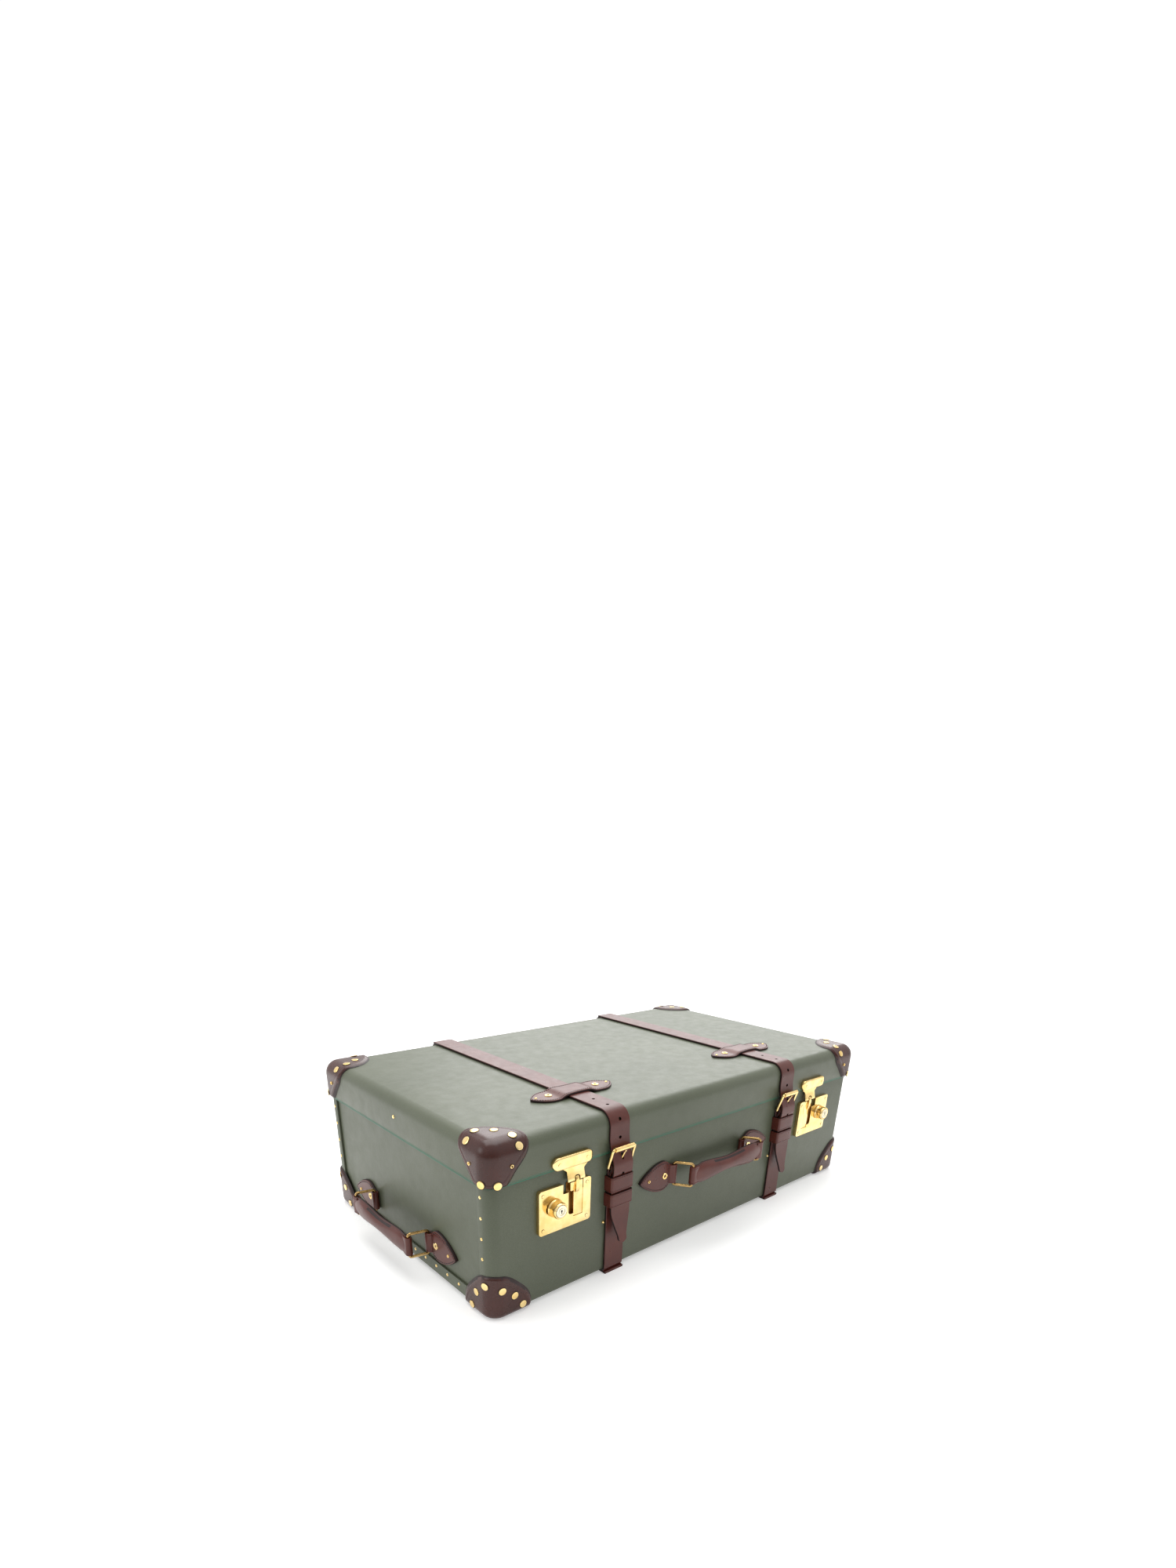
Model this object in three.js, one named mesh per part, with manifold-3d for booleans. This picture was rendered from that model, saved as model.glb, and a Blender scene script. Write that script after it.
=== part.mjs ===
// Footlocker: a fibreboard travelling trunk with leather corners, two belts, two handles and two locks.
// Millimetres, +Z up. The front faces -Y and the length runs along X.
import * as THREE from 'three';
import { ConvexGeometry } from 'three/addons/geometries/ConvexGeometry.js';
import { mergeVertices } from 'three/addons/utils/BufferGeometryUtils.js';
import Module from 'manifold-3d';

const wasm = await Module();
wasm.setup();

// Driving dimensions
const LENGTH = 762;
const DEPTH = 432.2;
const HEIGHT = 226.9;
const BASE_HEIGHT = 174.1;
const OVERHANG = 1.6;
const GAP = 0.3;
const LEATHER = 3.4;
const BASE_WALL = 2.7;
const LID_WALL = 3;
const LINING = 2.2;
const FLANGE = 24;
const BOTTOM_FLANGE = 21;
const DUST_LIP = 10;
const ARC_STEPS = 4;
const CIRCLE_SIDES = 12;

const COVER = LEATHER + GAP;
const FLOOR = COVER;
const RIM = FLOOR + BASE_HEIGHT;
const TOP = FLOOR + HEIGHT;
const SIDES = [{ name: 'left', sign: -1 }, { name: 'right', sign: 1 }];
const ENDS = [{ name: 'front', sign: -1 }, { name: 'rear', sign: 1 }];

const BASE = {
  halfX: LENGTH / 2 - OVERHANG, halfY: DEPTH / 2 - OVERHANG, low: FLOOR, high: RIM,
  corner: 16.8, lowEdge: 5.8, highEdge: 0,
};
const LID = {
  halfX: LENGTH / 2, halfY: DEPTH / 2, low: RIM + GAP, high: TOP,
  corner: 17, lowEdge: 0, highEdge: 17,
};
const FRONT = -BASE.halfY;
const LID_FRONT = -LID.halfY;

// Rear hinges
const HINGE = { x: 268, width: 60, axisY: 220, outer: 3.2, bore: 1.7, pin: 1.4, leaf: 1.6, drop: 27 };

// Belts: a strap over the lid, its loose billet, and a strap under the base that ends in the buckle
const BELT = { x: 182, width: 33.6, billetTip: 52.5, billetOut: 14.5, slotWidth: 3.8, slotHeight: 13 };
const HEEL = { y: FRONT - GAP - 5.45, z: 158.7, wrap: 5.45 };
const BUCKLE = {
  halfWidth: 19.4, wire: 1.8, bore: 2.4, rollerY: -228.4, rollerZ: 186.2, roller: 3.4, rollerHalf: 16.5,
};
const KEEPER = { wall: 2, front: FRONT - 14.6, tops: [147.7, 123.7], heights: [21, 19] };
const GUIDE = {
  shift: 3, y: -121, half: 69.5, waist: 16.5, lobe: 19.8, lobeAt: 41, thickness: 2.8, crest: 18, foot: 32,
};

// Handles
const HANDLE = {
  fold: 77, tip: 142, foldHalf: 13.8, chapeHalf: 22.5, chape: 4.4, wrap: 4.8,
  wire: 2, bore: 2.5, reach: 27, ringHalf: 17, gripEnd: 13.4, gripLobe: 15.3, gripWaist: 12.6, gripThick: 9.3,
  lobeAt: 0.62, endAt: 0.86,
};
// Both rings of a handle lean the same way, in degrees from square to the wall
const FRONT_HANDLE = { name: 'front', along: 3.5, height: 117, lean: 35 };
const END_HANDLE = { name: 'end', along: 5, height: 51, lean: -12 };

// Locks: across the plate, sizes are distances from the middle of the trunk
const LOCK = { inner: 230, outer: 312, low: 98, high: 158, thickness: 5.5 };
const NOTCH = { inner: 242.5, outer: 275, low: 145 };
const SLOT = { outer: 266.2, low: 114 };
const LEVER = {
  inner: 243.3, outer: 257.8, headOuter: 263, headLow: 145.6, headHigh: 157, pinZ: 112, eye: 1.9, pin: 1.2,
};
const FINGER = { inner: 251.2, outer: 256.4, low: 142, high: 165, proud: 3 };
const KNOB = {
  x: 288, z: 131.2, stem: 7, flange: 11.8, body: 10.9, face: 9.8, bore: 8.5, length: 12.9, travel: 6,
};
const PLUG = { radius: 8.2, keyHalf: 0.8, keyEye: 1.6 };
const CATCH = {
  centre: 259.5, half: 31.5, low: 178.2, height: 17, neckIn: 241, neckOut: 268.5, neckLow: 158.8, fillet: 6,
  forkIn: 249.6, forkOut: 258, forkHigh: 166.5,
};

function material(color, roughness, metalness) {
  return new THREE.MeshStandardMaterial({ color, roughness, metalness });
}

const FIBRE = material(0x4c5a47, 0.45, 0);
const LINING_CLOTH = material(0xcbbf9f, 0.85, 0);
const HIDE = material(0x5a2b2e, 0.4, 0);
const BRASS = material(0xe0b860, 0.22, 1);
const OLD_BRASS = material(0xa07a35, 0.3, 1);
const NICKEL = material(0xd8d5c8, 0.3, 1);

const trunk = new THREE.Group();

function addMesh(name, geometry, finish) {
  const mesh = new THREE.Mesh(geometry, finish);
  mesh.name = name;
  trunk.add(mesh);
}

// Booleans

function solidOf(geometry) {
  const bare = geometry.clone();
  bare.deleteAttribute('normal');
  bare.deleteAttribute('uv');
  const merged = mergeVertices(bare, 1e-4);
  return new wasm.Manifold(new wasm.Mesh({
    numProp: 3,
    vertProperties: new Float32Array(merged.attributes.position.array),
    triVerts: new Uint32Array(merged.index.array),
  }));
}

function geometryOf(solid) {
  const mesh = solid.getMesh();
  const geometry = new THREE.BufferGeometry();
  geometry.setAttribute('position', new THREE.BufferAttribute(mesh.vertProperties, 3));
  geometry.setIndex(new THREE.BufferAttribute(mesh.triVerts, 1));
  return geometry;
}

function addSolid(name, solid, finish) {
  addMesh(name, geometryOf(solid), finish);
}

// Shapes drawn in one plane and pulled along the third axis

const PLANES = {
  yz: [new THREE.Vector3(0, 1, 0), new THREE.Vector3(0, 0, 1), new THREE.Vector3(1, 0, 0)],
  xz: [new THREE.Vector3(1, 0, 0), new THREE.Vector3(0, 0, 1), new THREE.Vector3(0, -1, 0)],
  xy: [new THREE.Vector3(1, 0, 0), new THREE.Vector3(0, 1, 0), new THREE.Vector3(0, 0, 1)],
};

function pulled(shape, plane, from, to, bevel = 0, curveSegments = ARC_STEPS / 2) {
  const length = Math.abs(to - from);
  const geometry = new THREE.ExtrudeGeometry(shape, {
    depth: length - 2 * bevel, steps: 1, curveSegments,
    bevelEnabled: bevel > 0, bevelSize: bevel, bevelOffset: -bevel, bevelThickness: bevel, bevelSegments: 1,
  });
  const [u, v, n] = PLANES[plane];
  const start = plane === 'xz' ? -Math.max(from, to) : Math.min(from, to);
  geometry.translate(0, 0, start + bevel);
  return geometry.applyMatrix4(new THREE.Matrix4().makeBasis(u, v, n));
}

function pulledSolid(shape, plane, from, to) {
  return solidOf(pulled(shape, plane, from, to));
}

function roundedRect(u0, v0, u1, v1, radius) {
  const [a, b, c, d] = [Math.min(u0, u1), Math.min(v0, v1), Math.max(u0, u1), Math.max(v0, v1)];
  const shape = new THREE.Shape();
  shape.absarc(c - radius, b + radius, radius, -Math.PI / 2, 0);
  shape.absarc(c - radius, d - radius, radius, 0, Math.PI / 2);
  shape.absarc(a + radius, d - radius, radius, Math.PI / 2, Math.PI);
  shape.absarc(a + radius, b + radius, radius, Math.PI, Math.PI * 1.5);
  return shape;
}

function polygon(points) {
  return new THREE.Shape(points.map(([u, v]) => new THREE.Vector2(u, v)));
}

function circle(u, v, radius) {
  const points = Array.from({ length: CIRCLE_SIDES }, (_, k) => {
    const angle = ((k + 0.5) / CIRCLE_SIDES) * Math.PI * 2;
    return [u + radius * Math.cos(angle), v + radius * Math.sin(angle)];
  });
  return polygon(points);
}

function block(x0, x1, y0, y1, z0, z1) {
  const box = new THREE.BoxGeometry(Math.abs(x1 - x0), y1 - y0, z1 - z0);
  return solidOf(box.translate((x0 + x1) / 2, (y0 + y1) / 2, (z0 + z1) / 2));
}

// A band of even thickness along a centre line
function ribbon(line, thickness) {
  const drawn = line.getPoints(ARC_STEPS - 1);
  const points = drawn.filter((p, i) => i === 0 || p.distanceTo(drawn[i - 1]) > 1e-3);
  const left = [];
  const right = [];
  points.forEach((point, i) => {
    const before = points[Math.max(i - 1, 0)];
    const after = points[Math.min(i + 1, points.length - 1)];
    const a = (i === 0 ? after.clone().sub(point) : point.clone().sub(before)).normalize();
    const b = (i === points.length - 1 ? a.clone() : after.clone().sub(point)).normalize();
    const middle = new THREE.Vector2(-(a.y + b.y), a.x + b.x).normalize();
    const reach = thickness / 2 / Math.max(middle.dot(new THREE.Vector2(-a.y, a.x)), 0.5);
    left.push(point.clone().addScaledVector(middle, reach));
    right.unshift(point.clone().addScaledVector(middle, -reach));
  });
  return new THREE.Shape([...left, ...right]);
}

// A box with rounded upright corners and rounded low or high edges
function roundedBody(body, grow, lowEnd = body.low, highEnd = body.high) {
  const points = [];
  const profile = [];
  const arc = (edge, centreZ, from) => {
    for (let k = 0; k <= ARC_STEPS; k += 1) {
      const turn = from + (k / ARC_STEPS) * Math.PI / 2;
      const radius = edge + grow;
      profile.push([radius - radius * Math.cos(turn), centreZ + radius * Math.sin(turn)]);
    }
  };
  if (body.lowEdge > 0) arc(body.lowEdge, body.low + body.lowEdge, -Math.PI / 2);
  else profile.push([0, lowEnd]);
  if (body.highEdge > 0) arc(body.highEdge, body.high - body.highEdge, 0);
  else profile.push([0, highEnd]);
  for (const sx of [-1, 1]) {
    for (const sy of [-1, 1]) {
      for (let i = 0; i <= ARC_STEPS; i += 1) {
        const plan = (i / ARC_STEPS) * Math.PI / 2;
        for (const [inset, z] of profile) {
          const reach = Math.max(body.corner + grow - inset, 0);
          const x = sx * (body.halfX - body.corner + reach * Math.cos(plan));
          const y = sy * (body.halfY - body.corner + reach * Math.sin(plan));
          points.push(new THREE.Vector3(x, y, z));
        }
      }
    }
  }
  return solidOf(new ConvexGeometry(points));
}

// Case shells

function baseBody() {
  const shell = roundedBody(BASE, 0).subtract(roundedBody(BASE, -BASE_WALL, 0, RIM + 10));
  return SIDES.reduce((body, side) => body.subtract(block(
    side.sign * (BASE.halfX - 10), side.sign * (BASE.halfX + 10),
    -BASE.halfY + FLANGE, BASE.halfY - FLANGE, FLOOR + BOTTOM_FLANGE, RIM + 10,
  )), shell);
}

function endPanel(side) {
  const outside = side.sign * (BASE.halfX - BASE_WALL - GAP);
  const slab = block(outside, outside - side.sign * BASE_WALL, -DEPTH, DEPTH, 0, RIM);
  return roundedBody(BASE, -BASE_WALL - GAP).intersect(slab);
}

function baseLining() {
  const tray = {
    halfX: BASE.halfX - 2 * (BASE_WALL + GAP), halfY: BASE.halfY - BASE_WALL - GAP,
    low: BASE.low + BASE_WALL + GAP, high: RIM + DUST_LIP, corner: 13, lowEdge: 3, highEdge: 0,
  };
  return roundedBody(tray, 0).subtract(roundedBody(tray, -LINING, 0, tray.high + 10));
}

function lidShell() {
  return roundedBody(LID, 0).subtract(roundedBody(LID, -LID_WALL, LID.low - 10));
}

function lidLining() {
  const hollow = roundedBody(LID, -LID_WALL - GAP - LINING, 0);
  const rim = RIM + DUST_LIP + 3;
  return roundedBody(LID, -LID_WALL - GAP, rim).subtract(hollow);
}

// Leather corner caps: a leather skin over the shell, trimmed by a three-lobed outline seen along the
// corner's own diagonal. The angle starts at the lobe that runs along the upright edge.

function lobedOutline(radiusAt) {
  const points = [];
  for (let k = 0; k < 24; k += 1) {
    const angle = (k / 24) * Math.PI * 2;
    const radius = radiusAt(angle);
    points.push([radius * Math.cos(angle), radius * Math.sin(angle)]);
  }
  return polygon(points);
}

function lobedRadius(mean, lobes) {
  return (angle) => lobes.reduce((sum, size, k) => sum + size * Math.cos((k + 1) * angle), mean);
}

const LID_CAP = lobedOutline(lobedRadius(37.6, [-2.45, 2.2, 5.9, 0, 0, 0.7]));
const BASE_CAP = lobedOutline(lobedRadius(36.7, [0, 0, 6.2, 0, 0, 1.1]));

function cornerCap(skin, outline, body, sx, sy, sz) {
  const geometry = new THREE.ExtrudeGeometry(outline, { depth: 90, steps: 1, bevelEnabled: false });
  const diagonal = new THREE.Vector3(sx, sy, sz).normalize();
  const lobe = new THREE.Vector3(0, 0, -sz).addScaledVector(diagonal, diagonal.z * sz).normalize();
  const across = diagonal.clone().cross(lobe);
  geometry.translate(0, 0, -65);
  geometry.applyMatrix4(new THREE.Matrix4().makeBasis(lobe, across, diagonal));
  geometry.translate(sx * body.halfX, sy * body.halfY, sz > 0 ? body.high : body.low);
  return skin.intersect(solidOf(geometry));
}

function addCornerCaps() {
  const lidSkin = roundedBody(LID, COVER).subtract(roundedBody(LID, GAP, LID.low - 5));
  const baseSkin = roundedBody(BASE, COVER).subtract(roundedBody(BASE, GAP, 0, RIM + 5));
  for (const side of SIDES) {
    for (const end of ENDS) {
      const place = `${end.name}_${side.name}`;
      const lidCap = cornerCap(lidSkin, LID_CAP, LID, side.sign, end.sign, 1);
      const baseCap = cornerCap(baseSkin, BASE_CAP, BASE, side.sign, end.sign, -1);
      addSolid(`lid_corner_${place}`, lidCap, HIDE);
      addSolid(`base_corner_${place}`, baseCap, HIDE);
    }
  }
}

// Rear hinges: three knuckles on one pin, the middle one on the lid

function leafWithKnuckles(x, spans, plateY, plateFrom, plateTo, bridge) {
  const half = HINGE.width / 2;
  const plate = block(x - half, x + half, plateY, plateY + HINGE.leaf, plateFrom, plateTo);
  const barrels = spans.map(([from, to]) => {
    const barrel = pulledSolid(circle(HINGE.axisY, RIM, HINGE.outer), 'yz', x + from, x + to);
    return barrel.add(pulledSolid(polygon(bridge), 'yz', x + from, x + to));
  });
  const bore = pulledSolid(circle(HINGE.axisY, RIM, HINGE.bore), 'yz', x - half - 1, x + half + 1);
  return barrels.reduce((leaf, barrel) => leaf.add(barrel), plate).subtract(bore);
}

function addHinge(side) {
  const x = side.sign * HINGE.x;
  const half = HINGE.width / 2;
  const third = HINGE.width / 6;
  const baseY = BASE.halfY + GAP;
  const lidY = LID.halfY + GAP;
  const lower = [
    [baseY, RIM - 6], [baseY + HINGE.leaf, RIM - 6], [HINGE.axisY, RIM - 3], [baseY + 2.6, RIM - 1.2],
  ];
  const upper = [[lidY, RIM + 7], [lidY, RIM + 2.2], [HINGE.axisY, RIM + 2.9], [lidY + HINGE.leaf, RIM + 7]];
  const outerSpans = [[-half, -third - GAP], [third + GAP, half]];
  const baseLeaf = leafWithKnuckles(x, outerSpans, baseY, RIM - HINGE.drop, RIM - 4, lower);
  const lidLeaf = leafWithKnuckles(x, [[-third, third]], lidY, RIM + 5, RIM + HINGE.drop, upper);
  const pin = pulled(circle(HINGE.axisY, RIM, HINGE.pin), 'yz', x - half - 0.5, x + half + 0.5);
  addSolid(`hinge_base_leaf_${side.name}`, baseLeaf, BRASS);
  addSolid(`hinge_lid_leaf_${side.name}`, lidLeaf, BRASS);
  addMesh(`hinge_pin_${side.name}`, pin, BRASS);
}

// Belts

function beltSolid(shape, x) {
  return pulledSolid(shape, 'yz', x - BELT.width / 2, x + BELT.width / 2);
}

function lidStrap(x) {
  const offset = GAP + LEATHER / 2;
  const wall = LID.halfY + offset;
  const centreY = LID.halfY - LID.highEdge;
  const centreZ = TOP - LID.highEdge;
  const bend = LID.highEdge + offset;
  const line = new THREE.Path();
  line.moveTo(wall, RIM + 0.6);
  line.lineTo(wall, centreZ);
  line.absarc(centreY, centreZ, bend, 0, Math.PI / 2);
  line.lineTo(-centreY, centreZ + bend);
  line.absarc(-centreY, centreZ, bend, Math.PI / 2, Math.PI);
  line.lineTo(-wall, RIM + 24);
  line.quadraticCurveTo(-wall, RIM + 14, -wall - 4.2, RIM + 3);
  return beltSolid(ribbon(line, LEATHER), x);
}

function billetLine() {
  const start = -LID.halfY - 6.3;
  const line = new THREE.Path();
  line.moveTo(start, RIM + 2.2);
  line.quadraticCurveTo(HEEL.y - 7.3, HEEL.z + 10, HEEL.y - 7.45, HEEL.z);
  line.quadraticCurveTo(HEEL.y - 7.2, HEEL.z - 8, HEEL.y - 4.6, KEEPER.tops[0] + 1);
  line.lineTo(HEEL.y - 4.6, KEEPER.tops[1] - KEEPER.heights[1] - 2);
  line.quadraticCurveTo(HEEL.y - 5.6, BELT.billetTip + 26, HEEL.y - BELT.billetOut, BELT.billetTip - 3);
  return line;
}

function billet(x) {
  const half = BELT.width / 2;
  const outline = new THREE.Shape();
  outline.moveTo(x - half, RIM + 20);
  outline.lineTo(x - half, BELT.billetTip + 51);
  outline.quadraticCurveTo(x - half + 3, BELT.billetTip + 30, x - 6.5, BELT.billetTip + 6);
  outline.quadraticCurveTo(x, BELT.billetTip - 6, x + 6.5, BELT.billetTip + 6);
  outline.quadraticCurveTo(x + half - 3, BELT.billetTip + 30, x + half, BELT.billetTip + 51);
  outline.lineTo(x + half, RIM + 20);
  const strip = beltSolid(ribbon(billetLine(), LEATHER), x);
  const trimmed = strip.intersect(solidOf(pulled(outline, 'xz', FRONT - 30, FRONT, 0, 5)));
  const slotZ = HEEL.z + 12.5;
  const slot = block(
    x - BELT.slotWidth / 2, x + BELT.slotWidth / 2, FRONT - 30, FRONT,
    slotZ - BELT.slotHeight / 2, slotZ + BELT.slotHeight / 2,
  );
  return trimmed.subtract(slot);
}

function baseStrap(x) {
  const offset = GAP + LEATHER / 2;
  const wall = BASE.halfY + offset;
  const centreY = BASE.halfY - BASE.lowEdge;
  const centreZ = FLOOR + BASE.lowEdge;
  const bend = BASE.lowEdge + offset;
  const line = new THREE.Path();
  line.moveTo(-wall, HEEL.z - 6);
  line.lineTo(-wall, centreZ);
  line.absarc(-centreY, centreZ, bend, Math.PI, Math.PI * 1.5);
  line.lineTo(centreY, centreZ - bend);
  line.absarc(centreY, centreZ, bend, -Math.PI / 2, 0);
  line.lineTo(wall, RIM - 0.6);
  const face = FRONT - GAP;
  const doubled = polygon([
    [face, 118], [face - 2 * LEATHER + 1, 118], [face - 2 * LEATHER, 121], [face - 2 * LEATHER, HEEL.z - 4],
    [HEEL.y - 3.6, HEEL.z - 2], [HEEL.y, HEEL.z], [face, HEEL.z],
  ]);
  const folded = beltSolid(ribbon(line, LEATHER), x)
    .add(beltSolid(doubled, x))
    .add(beltSolid(circle(HEEL.y, HEEL.z, HEEL.wrap), x));
  const prongSlot = block(x - 3, x + 3, FRONT - 20, FRONT, HEEL.z - 9, HEEL.z + 10);
  return folded.subtract(beltSolid(circle(HEEL.y, HEEL.z, BUCKLE.bore), x)).subtract(prongSlot);
}

function keeperLoop(x, top, height) {
  const inner = BELT.width / 2 + 0.8;
  const outer = inner + KEEPER.wall;
  const back = FRONT - GAP;
  const front = KEEPER.front;
  const shape = polygon([
    [x - outer, back], [x - outer, front + 1], [x - outer + 1, front], [x + outer - 1, front],
    [x + outer, front + 1], [x + outer, back], [x + inner, back], [x + inner, front + KEEPER.wall],
    [x - inner, front + KEEPER.wall], [x - inner, back],
  ]);
  return pulled(shape, 'xy', top - height, top);
}

function addBuckle(side, x) {
  const rise = BUCKLE.rollerZ - HEEL.z;
  const run = BUCKLE.rollerY - HEEL.y;
  const length = Math.hypot(rise, run);
  const lean = Math.atan2(-run, rise);
  const { wire, halfWidth } = BUCKLE;
  const stand = (geometry) => geometry.rotateX(lean).translate(x, HEEL.y, HEEL.z);
  const outer = roundedRect(-halfWidth - wire, -wire, halfWidth + wire, length + wire, 3);
  outer.holes.push(roundedRect(-halfWidth + wire, wire, halfWidth - wire, length - wire, 1.2));
  addMesh(`buckle_frame_${side.name}`, stand(pulled(outer, 'xz', -wire, wire, 0.8, 1)), BRASS);

  const roller = circle(0, length, BUCKLE.roller);
  roller.holes.push(circle(0, length, BUCKLE.bore));
  const sleeve = pulled(roller, 'yz', -BUCKLE.rollerHalf, BUCKLE.rollerHalf);
  addMesh(`buckle_roller_${side.name}`, stand(sleeve), BRASS);

  const eye = pulledSolid(circle(HEEL.y, HEEL.z, 3.9), 'yz', x - 2.3, x + 2.3);
  const shank = polygon([
    [HEEL.y - 1, HEEL.z + 2], [HEEL.y + 2.2, HEEL.z + 2], [HEEL.y - 1, HEEL.z + 9],
    [HEEL.y - 8.9, HEEL.z + 22.6], [HEEL.y - 11.4, HEEL.z + 24.6], [HEEL.y - 12.1, HEEL.z + 23.6],
  ]);
  const bore = pulledSolid(circle(HEEL.y, HEEL.z, BUCKLE.bore), 'yz', x - 5, x + 5);
  const prong = eye.add(pulledSolid(shank, 'yz', x - 1.5, x + 1.5)).subtract(bore);
  addSolid(`buckle_prong_${side.name}`, prong, BRASS);
}

function leafHalfWidth(u) {
  const reach = Math.abs(u);
  if (reach <= GUIDE.lobeAt) {
    return GUIDE.waist + (GUIDE.lobe - GUIDE.waist) * Math.sin((Math.PI / 2) * (reach / GUIDE.lobeAt)) ** 2;
  }
  const past = (reach - GUIDE.lobeAt) / (GUIDE.half - GUIDE.lobeAt);
  return GUIDE.lobe * Math.max(Math.cos((Math.PI / 2) * past), 0) ** 0.75;
}

function strapGuide(beltX) {
  const x = beltX + GUIDE.shift;
  const upper = [];
  const lower = [];
  for (let k = 0; k <= 22; k += 1) {
    const u = -GUIDE.half + (k / 22) * 2 * GUIDE.half;
    upper.push([x + u, GUIDE.y + leafHalfWidth(u)]);
    if (k > 0 && k < 22) lower.unshift([x + u, GUIDE.y - leafHalfWidth(u)]);
  }
  const lying = TOP + GAP + GUIDE.thickness / 2;
  const raised = lying + COVER;
  const line = new THREE.Path();
  line.moveTo(x - GUIDE.half - 2, lying);
  line.lineTo(beltX - GUIDE.foot, lying);
  line.lineTo(beltX - GUIDE.crest, raised);
  line.lineTo(beltX + GUIDE.crest, raised);
  line.lineTo(beltX + GUIDE.foot, lying);
  line.lineTo(x + GUIDE.half + 2, lying);
  const sheet = pulledSolid(ribbon(line, GUIDE.thickness), 'xz', GUIDE.y - 25, GUIDE.y + 25);
  return sheet.intersect(pulledSolid(polygon([...upper, ...lower]), 'xy', TOP - 5, TOP + 15));
}

function addBelt(side) {
  const x = side.sign * BELT.x;
  addSolid(`strap_lid_${side.name}`, lidStrap(x), HIDE);
  addSolid(`strap_billet_${side.name}`, billet(x), HIDE);
  addSolid(`strap_base_${side.name}`, baseStrap(x), HIDE);
  KEEPER.tops.forEach((top, k) => {
    const place = k === 0 ? 'upper' : 'lower';
    addMesh(`keeper_${place}_${side.name}`, keeperLoop(x, top, KEEPER.heights[k]), HIDE);
  });
  addSolid(`strap_guide_${side.name}`, strapGuide(x), HIDE);
  addBuckle(side, x);
}

// Handles, drawn along X against a wall at y = 0 with the outside towards -Y, then put in place

function chapeHalfHeight(u) {
  const past = (u - HANDLE.fold) / (HANDLE.tip - HANDLE.fold);
  if (past < 0.3) {
    const swell = Math.sin((Math.PI / 2) * Math.max(past, 0) / 0.3) ** 2;
    return HANDLE.foldHalf + (HANDLE.chapeHalf - HANDLE.foldHalf) * swell;
  }
  return HANDLE.chapeHalf * Math.max(Math.cos((Math.PI / 2) * ((past - 0.3) / 0.7)), 0) ** 0.8;
}

function chape(sign) {
  const upper = [[HANDLE.fold - 8, HANDLE.foldHalf]];
  const lower = [[HANDLE.fold - 8, -HANDLE.foldHalf]];
  for (let k = 0; k <= 14; k += 1) {
    const u = HANDLE.fold + (k / 14) * (HANDLE.tip - HANDLE.fold);
    upper.push([u, chapeHalfHeight(u)]);
    if (k < 14) lower.push([u, -chapeHalfHeight(u)]);
  }
  const outline = polygon([...upper, ...lower.reverse()].map(([u, v]) => [sign * u, v]));
  const barY = -GAP - HANDLE.wrap;
  const plate = [
    [HANDLE.fold, -GAP], [HANDLE.tip + 2, -GAP], [HANDLE.tip + 2, -GAP - HANDLE.chape],
    [HANDLE.fold + 7, -GAP - HANDLE.chape], [HANDLE.fold + 3.4, barY - 3.4], [HANDLE.fold, barY],
  ];
  const along = (points) => polygon(points.map(([u, v]) => [sign * u, v]));
  const folded = pulledSolid(along(plate), 'xy', -30, 30)
    .add(pulledSolid(circle(sign * HANDLE.fold, barY, HANDLE.wrap), 'xy', -30, 30));
  const bore = pulledSolid(circle(sign * HANDLE.fold, barY, HANDLE.bore), 'xy', -31, 31);
  return folded.intersect(pulledSolid(outline, 'xz', -20, 5)).subtract(bore);
}

function ring(sign, lean) {
  const inner = -GAP - HANDLE.wrap;
  const outer = inner - HANDLE.reach;
  const { wire, ringHalf } = HANDLE;
  const shape = roundedRect(outer - wire, -ringHalf - wire, inner + wire, ringHalf + wire, 4);
  shape.holes.push(roundedRect(outer + wire, -ringHalf + wire, inner - wire, ringHalf - wire, 0.9));
  return pulled(shape, 'yz', -wire, wire, 1, 1)
    .translate(0, -inner, 0)
    .rotateZ(lean)
    .translate(sign * HANDLE.fold, inner, 0);
}

function eased(from, to, part) {
  return from + (to - from) * Math.sin((Math.PI / 2) * Math.min(Math.max(part, 0), 1)) ** 2;
}

// Narrow in the middle, widest at the lobes, narrower again where it folds over the bars
function gripHalfHeight(u) {
  const reach = Math.abs(u);
  if (reach < HANDLE.lobeAt) return eased(HANDLE.gripWaist, HANDLE.gripLobe, reach / HANDLE.lobeAt);
  return eased(HANDLE.gripLobe, HANDLE.gripEnd, (reach - HANDLE.lobeAt) / (HANDLE.endAt - HANDLE.lobeAt));
}

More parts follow.
